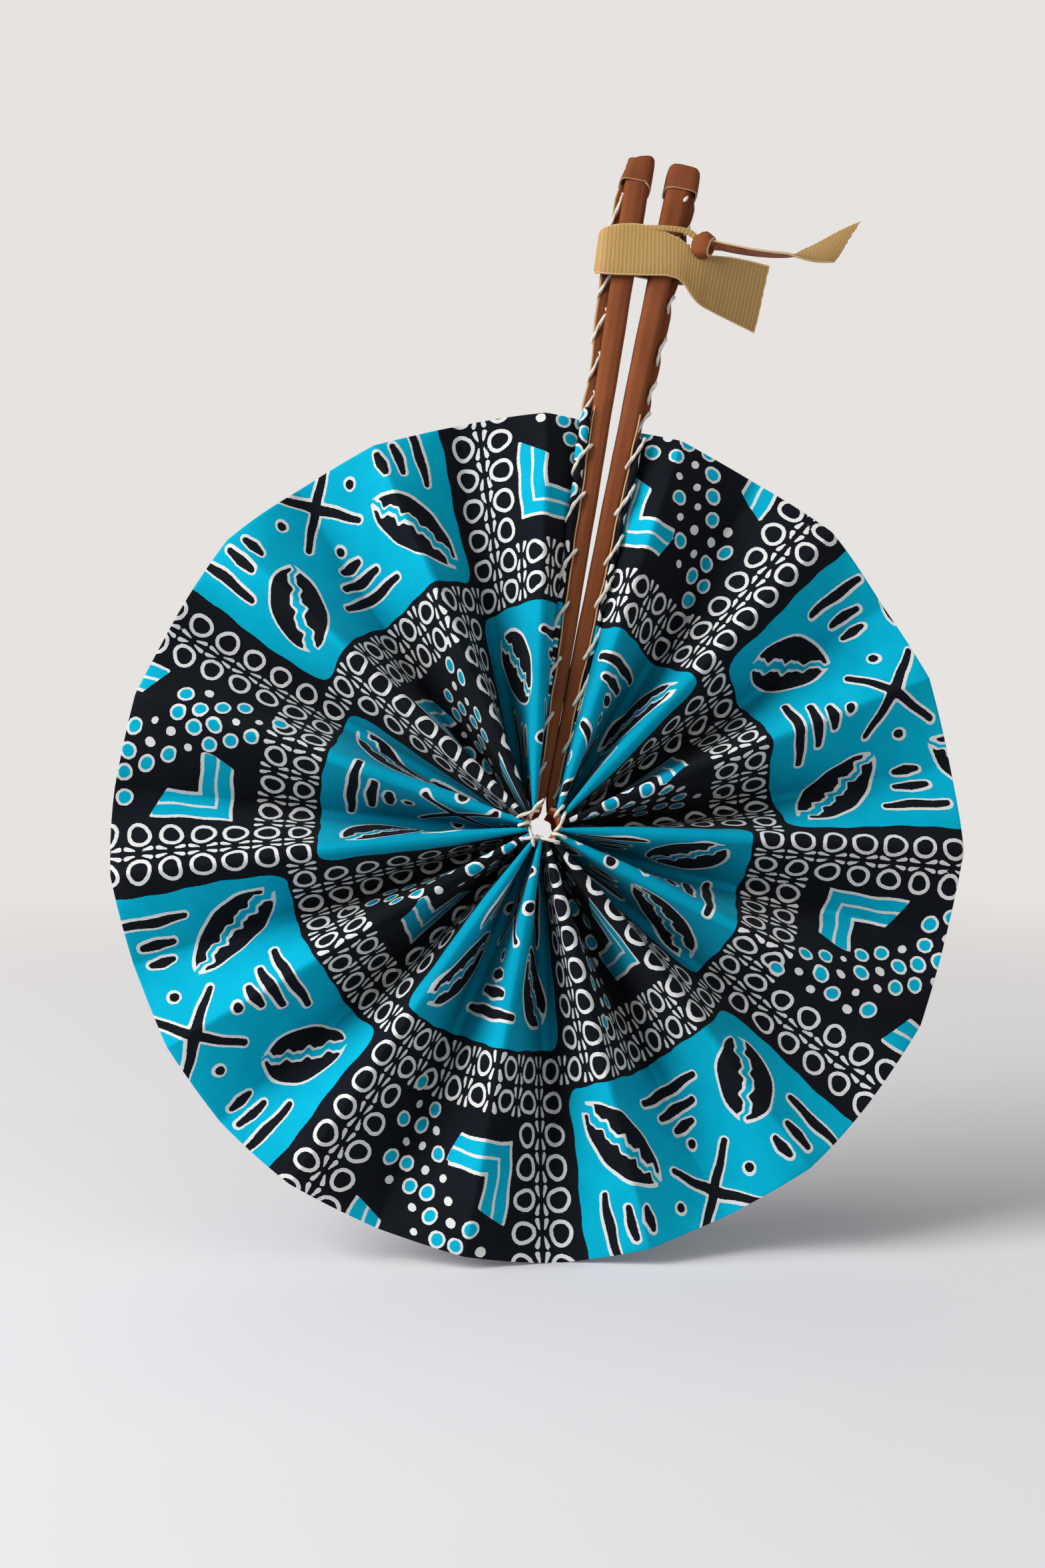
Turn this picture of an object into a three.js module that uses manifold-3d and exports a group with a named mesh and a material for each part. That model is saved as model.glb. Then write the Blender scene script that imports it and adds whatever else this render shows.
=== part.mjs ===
// Round folding hand fan, open. A pleated cloth leaf runs all the way round a small hub, from the
// seam of one leather-wrapped stick to the seam of the other, and a leather strap ties the two
// sticks side by side so that they make the handle.
// Millimetres, +Z up along the handle, front towards -Y. The fan is drawn about the axis of its hub,
// and the finished group is lowered so that the origin lies in the middle of the grip.

import * as THREE from 'three';
import { mergeVertices } from 'three/addons/utils/BufferGeometryUtils.js';
import Module from 'manifold-3d';

// Leaf: doubled printed cotton in accordion pleats
const LEAF_RADIUS = 150;
const RIDGE_COUNT = 15;
const RIM_SLOPE = THREE.MathUtils.degToRad(15);
const FOLD_ROUNDING = 0.2;
const CLOTH_THICKNESS = 0.5;
const PLEAT_ROWS = 12;

// Handle: two tapered sticks in leather, measured from the hub along Z
const HANDLE_TOP = 249.5;
const HANDLE_FOOT_REACH = 3.5;
const HANDLE_TOP_REACH = 12.5;
const HANDLE_FOOT_DEPTH = 8;
const HANDLE_TOP_DEPTH = 12;
const HANDLE_TOP_GAP = 6.6;
const WEDGE_START = 60;
const LEATHER_THICKNESS = 1;
const HANDLE_CORNER_SHARE = 0.3;
const STICK_CLEARANCE = 0.15;
const STICK_END_INSET = 2;
const SEAM_BITE = 0.8;

// Lip: the rear edge of the leather stands out past the seam, widest at the rim of the leaf
const LIP_FOOT_REACH = 0.4;
const LIP_RIM_REACH = 4.4;
const LIP_TOP_REACH = 2.4;

// End cap of folded leather on each stick
const CAP_WALL = 1;
const CAP_CROWN = 1;
const CAP_HEIGHT = 8.6;

// Binding: the leather strip rolled round the hub that holds the inner ends of the pleats
const BINDING_INNER_RADIUS = 4.6;
const BINDING_THICKNESS = 1.3;
const BINDING_DEPTH = 28;
const BINDING_MOUTH = THREE.MathUtils.degToRad(14);

// Tie strap round both sticks, below the caps
const STRAP_BELOW_CAP = 19.4;
const STRAP_WIDTH = 18.5;
const STRAP_THICKNESS = 2;
const STRAP_CORNER = 4;
const KNOT_RADIUS = 5;
const KNOT_FLATNESS = 0.8;
const WIDE_TAIL_REACH = 26;
const WIDE_TAIL_DROP = 8;
const WIDE_TAIL_END_WIDTH = 26;
const NARROW_TAIL_REACH = 54;
const NARROW_TAIL_RISE = 15;
const NARROW_TAIL_START_WIDTH = 9;
const NARROW_TAIL_END_WIDTH = 17.5;

// Fits and frame
const CLEARANCE = 0.3;
const GRIP_HEIGHT = 180;
const CORNER_STEPS = 3;
const ROUND_STEPS = 20;

const { degToRad, lerp } = THREE.MathUtils;
const { asin, cos, sin, PI } = Math;
const wasm = await Module();
wasm.setup();

// Finishes
const material = (color, roughness) => new THREE.MeshStandardMaterial({ color, roughness, metalness: 0 });
const FINISH = {
  cloth: () => material(0x1595ae, 0.85),
  darkCloth: () => material(0x191720, 0.85),
  leather: () => material(0x8a4d31, 0.6),
  wood: () => material(0xb98a5a, 0.7),
  strap: () => material(0xb08a55, 0.75),
};

// Mesh helpers

// Closed body from points and triangles, with the faces turned outwards.
function closedBody(points, triangles) {
  let volume = 0;
  for (const [a, b, c] of triangles) {
    volume += points[a].dot(points[b].clone().cross(points[c]));
  }
  const turned = volume < 0 ? triangles.map(([a, b, c]) => [a, c, b]) : triangles;
  const geometry = new THREE.BufferGeometry();
  geometry.setAttribute('position', new THREE.Float32BufferAttribute(points.flatMap((p) => p.toArray()), 3));
  geometry.setIndex(turned.flat());
  return geometry;
}

// Triangles between two rows of equal length, given by the index of their first point.
function strip(first, second, count, closed) {
  const triangles = [];
  const last = closed ? count : count - 1;
  for (let i = 0; i < last; i += 1) {
    const j = (i + 1) % count;
    triangles.push([first + i, first + j, second + j], [first + i, second + j, second + i]);
  }
  return triangles;
}

// Signed area of a loop seen along Z.
function loopArea(loop) {
  return THREE.ShapeUtils.area(loop.map((p) => new THREE.Vector2(p.x, p.y)));
}

// Flat lid on a level loop, wound along the loop or against it.
function lid(loop, first, along) {
  const flat = loop.map((p) => new THREE.Vector2(p.x, p.y));
  const wanted = Math.sign(loopArea(loop)) * (along ? 1 : -1);
  return THREE.ShapeUtils.triangulateShape(flat, []).map((face) => {
    const area = loopArea(face.map((i) => loop[i]));
    const [a, b, c] = Math.sign(area) === wanted ? face : [face[0], face[2], face[1]];
    return [first + a, first + b, first + c];
  });
}

// Body through level loops of equally many points.
function loft(loops) {
  const count = loops[0].length;
  const triangles = [...lid(loops[0], 0, false)];
  for (let k = 0; k + 1 < loops.length; k += 1) {
    triangles.push(...strip(k * count, (k + 1) * count, count, true));
  }
  triangles.push(...lid(loops.at(-1), (loops.length - 1) * count, true));
  return closedBody(loops.flat(), triangles);
}

// Thin body between two grids of points of the same size.
function sheet(front, back) {
  const rows = front.length;
  const columns = front[0].length;
  const behind = rows * columns;
  const triangles = [];
  for (let k = 0; k + 1 < rows; k += 1) {
    triangles.push(...strip(k * columns, (k + 1) * columns, columns, false));
    const facing = strip(behind + k * columns, behind + (k + 1) * columns, columns, false);
    triangles.push(...facing.map(([a, b, c]) => [a, c, b]));
  }
  const edge = (a, b) => triangles.push([a, b, behind + b], [a, behind + b, behind + a]);
  for (let i = 0; i + 1 < columns; i += 1) {
    edge(i + 1, i);
    edge((rows - 1) * columns + i, (rows - 1) * columns + i + 1);
  }
  for (let k = 0; k + 1 < rows; k += 1) {
    edge(k * columns, (k + 1) * columns);
    edge((k + 2) * columns - 1, (k + 1) * columns - 1);
  }
  return closedBody([...front.flat(), ...back.flat()], triangles);
}

function solid(geometry) {
  const bare = geometry.clone();
  bare.deleteAttribute('normal');
  bare.deleteAttribute('uv');
  const merged = mergeVertices(bare);
  return new wasm.Manifold(new wasm.Mesh({
    numProp: 3,
    vertProperties: new Float32Array(merged.attributes.position.array),
    triVerts: new Uint32Array(merged.index.array),
  }));
}

function geometryOf(body) {
  const mesh = body.getMesh();
  const geometry = new THREE.BufferGeometry();
  geometry.setAttribute('position', new THREE.BufferAttribute(new Float32Array(mesh.vertProperties), 3));
  geometry.setIndex(new THREE.BufferAttribute(new Uint32Array(mesh.triVerts), 1));
  return geometry;
}

// Handle outline: the two sticks mirror each other in the plane x = 0. They lie close together near the
// hub and part in a wedge above it.
const bindingOuter = BINDING_INNER_RADIUS + BINDING_THICKNESS;
const handleFoot = bindingOuter + CLEARANCE;
const along = (z) => (z - handleFoot) / (HANDLE_TOP - handleFoot);
const wedge = (z) => Math.max(0, (z - WEDGE_START) / (HANDLE_TOP - WEDGE_START));
const handleGap = (z) => lerp(CLEARANCE, HANDLE_TOP_GAP, wedge(z)) / 2;
const handleReach = (z) => lerp(HANDLE_FOOT_REACH, HANDLE_TOP_REACH, along(z));
const handleWidth = (z) => handleReach(z) - handleGap(z);
const handleDepth = (z) => lerp(HANDLE_FOOT_DEPTH, HANDLE_TOP_DEPTH, along(z));
const seamSlit = CLOTH_THICKNESS + 2 * CLEARANCE;
const seamLip = (z) => (z < LEAF_RADIUS
  ? lerp(LIP_FOOT_REACH, LIP_RIM_REACH, (z - handleFoot) / (LEAF_RADIUS - handleFoot))
  : lerp(LIP_RIM_REACH, LIP_TOP_REACH, (z - LEAF_RADIUS) / (HANDLE_TOP - LEAF_RADIUS)));
const lipReach = (z) => handleReach(z) + seamLip(z);

// Rounded box seen along Z, from the front corner of its outer side round to the rear corner.
function roundedOutline(inner, outer, halfDepth, radius) {
  const corners = [
    [outer - radius, -halfDepth + radius, 0],
    [inner + radius, -halfDepth + radius, -PI / 2],
    [inner + radius, halfDepth - radius, -PI],
    [outer - radius, halfDepth - radius, -1.5 * PI],
  ];
  return corners.flatMap(([x, y, start]) => {
    return Array.from({ length: CORNER_STEPS + 1 }, (_, i) => {
      const angle = start - ((PI / 2) * i) / CORNER_STEPS;
      return [x + radius * cos(angle), y + radius * sin(angle)];
    });
  });
}

// Outline at height z, grown outwards by `grow`, of the leather round the stick or as far as `reach`.
function handleOutline(z, grow, reach = handleReach) {
  const radius = HANDLE_CORNER_SHARE * Math.min(handleWidth(z), handleDepth(z));
  const corner = Math.max(radius + grow, radius / 3);
  const halfDepth = handleDepth(z) / 2 + grow;
  return roundedOutline(handleGap(z) - grow, reach(z) + grow, halfDepth, corner);
}

const level = (outline, z, side) => outline.map(([x, y]) => new THREE.Vector3(side * x, y, z));

// Leather wrap: an open sleeve whose two edges leave a seam on the outer side for the cloth. The rear
// edge runs on outwards as a lip behind the cloth.
function leatherWrap(side) {
  const lipFront = seamSlit / 2;
  const lipBack = lipFront + LEATHER_THICKNESS;
  const loops = [handleFoot, WEDGE_START, LEAF_RADIUS, HANDLE_TOP].map((z) => {
    const outer = handleReach(z);
    const inner = outer - LEATHER_THICKNESS;
    const outside = [[outer, -lipFront], ...handleOutline(z, 0)];
    const lip = [[outer, lipBack], [lipReach(z), lipBack], [lipReach(z), lipFront]];
    const inside = [[inner, -lipFront], ...handleOutline(z, -LEATHER_THICKNESS), [inner, lipFront]];
    return level([...outside, ...lip, ...inside.reverse()], z, side);
  });
  return loft(loops);
}

// Stick: the tapered wooden core inside the wrap.
function stick(side) {
  const inset = -(LEATHER_THICKNESS + STICK_CLEARANCE);
  const heights = [handleFoot + STICK_END_INSET, WEDGE_START, HANDLE_TOP - STICK_END_INSET];
  return loft(heights.map((z) => level(handleOutline(z, inset), z, side)));
}

// End cap: a folded leather cup over the top of the wrap and its lip, crowned round its flat top.
const capFoot = HANDLE_TOP - CAP_HEIGHT;
const capTop = HANDLE_TOP + CLEARANCE + CAP_WALL;
function endCap(side) {
  const block = (loops) => {
    return solid(loft(loops.map(([z, grow]) => level(handleOutline(z, grow, lipReach), z, side))));
  };
  const wall = CLEARANCE + CAP_WALL;
  const outside = block([[capFoot, wall], [capTop - CAP_CROWN, wall], [capTop, wall - CAP_CROWN]]);
  const inside = block([[capFoot - CAP_WALL, CLEARANCE], [HANDLE_TOP + CLEARANCE, CLEARANCE]]);
  return geometryOf(outside.subtract(inside));
}

// Leaf: 15 ridges and 14 valleys. Every panel between two folds is equally wide from hub to rim, so
// the pleats stand deep at the hub and are nearly flat at the rim.
const panelCount = 2 * RIDGE_COUNT - 1;
const leafInner = bindingOuter + CLEARANCE;
const seamOffset = (r) => handleReach(r) + CLEARANCE;
const seamAngle = (r) => asin(seamOffset(r) / r);
const leafSpan = (r) => 2 * PI - 2 * seamAngle(r);
const panelPitch = (r) => (r * leafSpan(r)) / panelCount;
const foldRadius = (r) => 2 * FOLD_ROUNDING * panelPitch(r);
const advance = (width, radius, slope) => {
  return 2 * radius * sin(slope) + (width - 2 * radius * slope) * cos(slope);
};
const rimRadius = foldRadius(LEAF_RADIUS);
const panelWidth = (panelPitch(LEAF_RADIUS) - 2 * rimRadius * sin(RIM_SLOPE)) / cos(RIM_SLOPE)
  + 2 * rimRadius * RIM_SLOPE;

// Slope of the panels at radius r, halved in on until each panel advances by its pitch.
function panelSlope(r) {
  let [low, high] = [0, PI / 2];
  for (let i = 0; i < 50; i += 1) {
    const middle = (low + high) / 2;
    if (advance(panelWidth, foldRadius(r), middle) > panelPitch(r)) low = middle;
    else high = middle;
  }
  return (low + high) / 2;
}

// Section across half a panel at radius r, from its middle to the fold: [advance, height].
function halfPanel(r) {
  const slope = panelSlope(r);
  const radius = foldRadius(r);
  const straight = panelWidth / 2 - radius * slope;
  const bend = [straight * cos(slope), straight * sin(slope)];
  const fold = [bend[0] + radius * sin(slope), bend[1] + radius * (1 - cos(slope))];
  return { bend, fold };
}

// Section through one pleat at radius r. The ends of the leaf start at a seam in the middle of a panel.
function pleatSection(r, pleat) {
  const { bend, fold } = halfPanel(r);
  const ridge = panelPitch(r) * (0.5 + 2 * pleat);
  const panel = panelPitch(r);
  const slack = CLEARANCE / 2;
  const bite = seamOffset(r) - handleReach(r) + SEAM_BITE;
  const half = (side) => {
    const atSeam = pleat === (side < 0 ? 0 : RIDGE_COUNT - 1);
    const place = (x, y) => [ridge + side * x, y];
    const rising = [place(panel / 2 - bend[0], -bend[1])];
    if (atSeam) return [...rising, place(panel / 2, 0), place(panel / 2 + bite, 0)];
    return [...rising, place(panel / 2 + bend[0], bend[1]), place(panel / 2 + fold[0] - slack, fold[1])];
  };
  return [...half(-1).reverse(), [ridge, -fold[1]], ...half(1)];
}

// The same section moved half a thickness to one side. Its two ends lie level, in a valley or a seam.
function offsetSection(section, distance) {
  return section.map(([x, y], i) => {
    if (i === 0 || i === section.length - 1) return [x, y + distance];
    const [before, after] = [section[i - 1], section[i + 1]];
    const direction = new THREE.Vector2(after[0] - before[0], after[1] - before[1]).normalize();
    return [x - distance * direction.y, y + distance * direction.x];
  });
}

// Point of the leaf at radius r: x runs round the hub from the left seam, y is the depth.
function leafPoint(r, [x, y]) {
  const angle = seamAngle(r) + x / r;
  return new THREE.Vector3(-r * sin(angle), y, r * cos(angle));
}

function pleat(index) {
  const rows = Array.from({ length: PLEAT_ROWS + 1 }, (_, k) => {
    return lerp(leafInner, LEAF_RADIUS, (1 - cos((PI * k) / PLEAT_ROWS)) / 2);
  });
  const side = (distance) => rows.map((r) => {
    return offsetSection(pleatSection(r, index), distance).map((point) => leafPoint(r, point));
  });
  return sheet(side(-CLOTH_THICKNESS / 2), side(CLOTH_THICKNESS / 2));
}

// Binding: most of a tube about the hub, open upwards between the feet of the sticks.
function binding() {
  const from = PI / 2 + BINDING_MOUTH;
  const to = PI / 2 - BINDING_MOUTH + 2 * PI;
  const outline = new THREE.Shape();
  outline.absarc(0, 0, bindingOuter, from, to, false);
  outline.absarc(0, 0, BINDING_INNER_RADIUS, to, from, true);
  const tube = new THREE.ExtrudeGeometry(outline, {
    depth: BINDING_DEPTH, bevelEnabled: false, curveSegments: ROUND_STEPS,
  });
  return tube.rotateX(PI / 2).translate(0, BINDING_DEPTH / 2, 0);
}

// Tie strap: a band round both sticks, a knot in front of its upper edge on the right and two loose tails.
const strapTop = capFoot - STRAP_BELOW_CAP;
const strapFoot = strapTop - STRAP_WIDTH;
const strapMiddle = (strapTop + strapFoot) / 2;
const strapInside = [
  Math.max(lipReach(strapTop), lipReach(strapFoot)) + CLEARANCE,
  handleDepth(strapTop) / 2 + CLEARANCE,
];
const strapOutside = strapInside.map((reach) => reach + STRAP_THICKNESS);
const strapFront = -(strapInside[1] + strapOutside[1]) / 2;

function strapBand() {
  const ring = ([reach, halfDepth], corner, z) => {
    return level(roundedOutline(-reach, reach, halfDepth, corner), z, 1);
  };
  const block = (size, corner, height) => loft([
    ring(size, corner, strapMiddle - height / 2),
    ring(size, corner, strapMiddle + height / 2),
  ]);
  const inner = Math.max(STRAP_CORNER - STRAP_THICKNESS, STRAP_THICKNESS);
  const outside = solid(block(strapOutside, STRAP_CORNER, STRAP_WIDTH));
  return outside.subtract(solid(block(strapInside, inner, 2 * STRAP_WIDTH)));
}

// Tail: a ribbon of leather from `start`. Each station gives [reach, depth, rise, width, turn] about
// the start, where a turn of 0 lays the ribbon level and one of 90 degrees shows it from the front.
function strapTail(start, stations) {
  const rows = (face) => stations.map(([x, y, z, width, turn]) => {
    const centre = new THREE.Vector3(x, y, z).add(start);
    const across = new THREE.Vector3(0, cos(degToRad(turn)), sin(degToRad(turn)));
    const through = new THREE.Vector3(0, -across.z, across.y).multiplyScalar((face * STRAP_THICKNESS) / 2);
    return [-width / 2, width / 2].map((half) => centre.clone().addScaledVector(across, half).add(through));
  });
  return solid(sheet(rows(1), rows(-1)));
}

// The wide tail is the band's front running on past the sticks.
function wideTail() {
  const middleWidth = (STRAP_WIDTH + WIDE_TAIL_END_WIDTH) / 2;
  return strapTail(new THREE.Vector3(strapOutside[0], strapFront, strapMiddle), [
    [-STRAP_CORNER, 0, 0, STRAP_WIDTH, 90],
    [WIDE_TAIL_REACH / 4, 0, -WIDE_TAIL_DROP / 2, middleWidth, 90],
    [WIDE_TAIL_REACH, 0, -WIDE_TAIL_DROP, WIDE_TAIL_END_WIDTH, 90],
  ]);
}

// The narrow tail leaves the knot almost edge on and twists towards the front at its end.
function narrowTail(knot) {
  const width = (share) => lerp(NARROW_TAIL_START_WIDTH, NARROW_TAIL_END_WIDTH, share);
  const station = (share, rise, turn) => {
    return [share * NARROW_TAIL_REACH, 0, rise * NARROW_TAIL_RISE, width(share), turn];
  };
  return strapTail(knot, [
    station(0, 0, 40),
    station(0.2, 0.2, 30),
    station(0.55, 0.32, 15),
    station(0.75, 0.48, 25),
    station(0.88, 0.72, 55),
    station(1, 1, 90),
  ]);
}

function tieStrap() {
  const knot = new THREE.Vector3(strapOutside[0] + KNOT_RADIUS / 2, strapFront, strapTop);
  const lump = new THREE.SphereGeometry(KNOT_RADIUS, ROUND_STEPS, ROUND_STEPS / 2);
  lump.scale(KNOT_FLATNESS, 1, 1).translate(...knot.toArray());
  return geometryOf(strapBand().add(solid(lump)).add(wideTail()).add(narrowTail(knot)));
}

// Assembly
const fan = new THREE.Group();
fan.position.z = -GRIP_HEIGHT;

function addPiece(name, geometry, finish) {
  const piece = new THREE.Mesh(geometry, finish());
  piece.name = name;
  fan.add(piece);
}

for (const [hand, side] of [['left', -1], ['right', 1]]) {
  addPiece(`${hand}_stick`, stick(side), FINISH.wood);
  addPiece(`${hand}_leather_wrap`, leatherWrap(side), FINISH.leather);
  addPiece(`${hand}_end_cap`, endCap(side), FINISH.leather);
}
for (let index = 0; index < RIDGE_COUNT; index += 1) {
  const number = String(index + 1).padStart(2, '0');
  addPiece(`pleat_${number}`, pleat(index), index % 2 ? FINISH.darkCloth : FINISH.cloth);
}
addPiece('hub_binding', binding(), FINISH.leather);
addPiece('tie_strap', tieStrap(), FINISH.strap);

const part = new THREE.Group();
part.add(fan);
export default part;
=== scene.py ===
# %% [markdown]
# # A round folding fan in printed cotton and leather
# The measured solids come in as a fixed frame: two sticks, fifteen pleats, a hub binding and a
# tie strap. This lesson dresses them. Each step says what the piece is on the real fan, how it
# could be made, and why it is made this way here.

# %% The frame and the tools
import bpy
import numpy as np
from mathutils import Matrix, Vector


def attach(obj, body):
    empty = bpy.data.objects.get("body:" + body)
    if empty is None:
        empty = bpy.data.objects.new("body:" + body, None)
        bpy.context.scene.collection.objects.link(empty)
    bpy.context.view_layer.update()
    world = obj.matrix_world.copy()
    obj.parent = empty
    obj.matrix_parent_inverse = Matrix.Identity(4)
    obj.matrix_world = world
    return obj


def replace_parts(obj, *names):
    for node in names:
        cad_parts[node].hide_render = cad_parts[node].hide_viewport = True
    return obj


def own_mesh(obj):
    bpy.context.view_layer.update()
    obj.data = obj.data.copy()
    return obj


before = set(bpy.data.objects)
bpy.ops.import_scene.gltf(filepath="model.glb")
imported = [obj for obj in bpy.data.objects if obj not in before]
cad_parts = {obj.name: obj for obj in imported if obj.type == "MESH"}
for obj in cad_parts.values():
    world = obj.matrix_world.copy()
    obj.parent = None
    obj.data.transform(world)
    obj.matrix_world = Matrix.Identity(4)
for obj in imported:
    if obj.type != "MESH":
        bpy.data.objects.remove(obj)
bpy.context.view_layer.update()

# %% [markdown]
# ## Units
# The fan is easiest to think about from the axis of its hub and in millimetres. The frame has its
# origin in the grip, 180 mm higher, and counts in metres. One function goes from one to the other,
# so every shape below can be written in the maker's own sizes.

# %% From millimetres about the hub to metres about the grip
GRIP_HEIGHT = 180.0


def metres(points):
    """Lower the points by the height of the grip and divide by a thousand."""
    placed = np.array(points, dtype=float)
    placed[..., 2] -= GRIP_HEIGHT
    return placed / 1000


def place(x, y, z):
    """Stack three arrays of coordinates, spread to one common shape, into points."""
    return np.stack(np.broadcast_arrays(x, y, z), -1).astype(float)


def unit(vectors):
    """Vectors of length one in the same directions: each is divided by its own length."""
    return vectors / np.linalg.norm(vectors, axis=-1, keepdims=True)


print("the hub is at", metres([0, 0, 0]), "in the frame")

# %% [markdown]
# ## Camera
# The view is slightly from below the middle of the leaf, because the fan leans back, and the fan
# is turned by about ten degrees in the picture. The camera could be aimed by eye. Here its place
# follows from a fit of the round rim, the hub and the two ends of the handle.

# %% The camera
SENSOR, FIELD_HEIGHT = 36.0, np.radians(40.0)
ELEVATION, AZIMUTH, ROLL = np.radians([-8.48, 1.97, 10.44])
DISTANCE, SLIDE_X, SLIDE_Y = 759.4, 6.37, -15.63

towards = np.array([-np.sin(AZIMUTH) * np.cos(ELEVATION),
                    -np.cos(AZIMUTH) * np.cos(ELEVATION), np.sin(ELEVATION)])
level_right = unit(np.cross(-towards, [0.0, 0.0, 1.0]))
level_up = np.cross(level_right, -towards)
camera_right = np.cos(ROLL) * level_right + np.sin(ROLL) * level_up
camera_up = -np.sin(ROLL) * level_right + np.cos(ROLL) * level_up
camera_forward = -towards

eye = metres(-(SLIDE_X * camera_right + SLIDE_Y * camera_up + DISTANCE * camera_forward))
camera = bpy.data.objects.new("camera", bpy.data.cameras.new("camera"))
turn = Matrix([camera_right, camera_up, -camera_forward]).transposed()
camera.matrix_world = Matrix.Translation(Vector(eye)) @ turn.to_4x4()
camera.data.sensor_width = SENSOR
camera.data.lens = SENSOR / 2 / np.tan(FIELD_HEIGHT / 2)
camera.data.clip_start = 0.01
bpy.context.scene.collection.objects.link(camera)
bpy.context.scene.camera = camera
bpy.context.scene.view_settings.view_transform = "Standard"
print("camera at", eye.round(3), "lens", round(camera.data.lens, 2))

# %% [markdown]
# ## Node helper
# Every finish below, and the light of the room, is a small tree of shader nodes. Writing them by
# hand takes three lines a node, so one helper makes a node, sets its values and joins its inputs
# in a single call.


# %% Making a finish
def linear(red, green, blue):
    """Screen colour from 0 to 255 turned into the linear value that a shader works with."""
    share = np.array([red, green, blue]) / 255
    value = np.where(share <= 0.04045, share / 12.92, ((share + 0.055) / 1.055) ** 2.4)
    return (*value.tolist(), 1.0)


class NodeTree:
    """A tree of shader nodes, with one call for each node in it."""

    def __init__(self, tree):
        self.tree = tree

    def feed(self, socket, value):
        """Join an output to a socket, or write a number or a colour into it."""
        if isinstance(value, bpy.types.NodeSocket):
            self.tree.links.new(value, socket)
        else:
            socket.default_value = value

    def node(self, kind, output=0, inputs=(), **settings):
        """Add a node of this kind, set it up, feed its inputs and return one of its outputs."""
        made = self.tree.nodes.new("ShaderNode" + kind)
        for key, value in settings.items():
            setattr(made, key, value)
        for socket, value in dict(inputs).items():
            self.feed(made.inputs[socket], value)
        return made.outputs[output]

    def math(self, operation, first, second=0.0):
        """One sum on two numbers or outputs."""
        return self.node("Math", operation=operation, inputs={0: first, 1: second})


class Finish(NodeTree):
    """A material, with the nodes that finishes are made of."""

    def __init__(self, name, color, roughness, **sockets):
        self.material = bpy.data.materials.new(name)
        self.material.use_nodes = True
        super().__init__(self.material.node_tree)
        self.shader = self.tree.nodes["Principled BSDF"]
        self.material.diffuse_color = color
        self.set("Base Color", color)
        self.set("Roughness", roughness)
        for socket, value in sockets.items():
            self.set(socket.replace("_", " "), value)

    def set(self, socket, value):
        """Give one socket of the surface shader a value, or join a node's output to it."""
        self.feed(self.shader.inputs[socket], value)

    def mix(self, share, first, second):
        """Blend of two colours."""
        sockets = {0: share, 6: first, 7: second}
        return self.node("Mix", output=2, data_type="RGBA", inputs=sockets)

    def field(self, name):
        """A number that the mesh carries on each of its points."""
        return self.node("Attribute", output="Fac", attribute_name=name)

    def ramp(self, value, low, high, at_low=0.0, at_high=1.0):
        """Number carried from one range to another, without leaving it."""
        sockets = {"Value": value, "From Min": low, "From Max": high,
                   "To Min": at_low, "To Max": at_high}
        return self.node("MapRange", inputs=sockets)

    def place(self, scale=(1.0, 1.0, 1.0), output="Object"):
        """Coordinates stretched by a scale, from the object or from its own map."""
        coordinates = self.node("TexCoord", output=output)
        return self.node("Mapping", inputs={"Vector": coordinates, "Scale": scale})

    def noise(self, scale, vector, detail=3.0, roughness=0.5):
        """Cloudy pattern from 0 to 1."""
        sockets = {"Scale": scale, "Vector": vector, "Detail": detail, "Roughness": roughness}
        return self.node("TexNoise", inputs=sockets)

    def bump(self, height, distance, strength=1.0):
        """Small relief of this height in metres, added to the surface."""
        sockets = {"Height": height, "Distance": distance, "Strength": strength}
        self.set("Normal", self.node("Bump", inputs=sockets))


print("finish helper ready")

# %% [markdown]
# ## Studio
# The fan stands in soft light from the left. A plain pale floor under the lowest point of the rim
# catches the shadow. The floor fades out with distance and melts into the pale background, so no
# edge of it shows from any side.

# %% Background and light
PALE = linear(230, 227, 224)
AMBIENT_COLOR, AMBIENT_STRENGTH = (0.98, 0.985, 1.0, 1.0), 0.4
world = bpy.data.worlds.new("pale_room")
world.use_nodes = True
bpy.context.scene.world = world
room = NodeTree(world.node_tree)
rays = room.tree.nodes.new("ShaderNodeLightPath").outputs
seen = room.math("MAXIMUM", rays["Is Camera Ray"], rays["Is Glossy Ray"])
seen = room.math("MAXIMUM", seen, rays["Is Transmission Ray"])
ambient = room.tree.nodes["Background"]
ambient.inputs["Color"].default_value = AMBIENT_COLOR
ambient.inputs["Strength"].default_value = AMBIENT_STRENGTH
backdrop = room.node("Background", inputs={"Color": PALE})
either = room.node("MixShader", inputs={0: seen, 1: ambient.outputs[0], 2: backdrop})
room.feed(room.tree.nodes["World Output"].inputs["Surface"], either)


def soft_lamp(name, spot, size, power):
    """Square area lamp at a spot, in metres from the grip, aimed at the hub."""
    lamp = bpy.data.objects.new(name, bpy.data.lights.new(name, "AREA"))
    lamp.data.size = size
    lamp.data.energy = power
    aim = Vector(metres([0, 0, 0])) - Vector(spot)
    facing = aim.to_track_quat("-Z", "Y").to_matrix().to_4x4()
    lamp.matrix_world = Matrix.Translation(Vector(spot)) @ facing
    bpy.context.scene.collection.objects.link(lamp)


soft_lamp("window", (-1.6, -0.85, 0.35), size=1.2, power=49.0)
soft_lamp("bounce", (1.2, -1.2, 0.3), size=1.4, power=4.0)
print("lit by the room, a window and a bounce")

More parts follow.
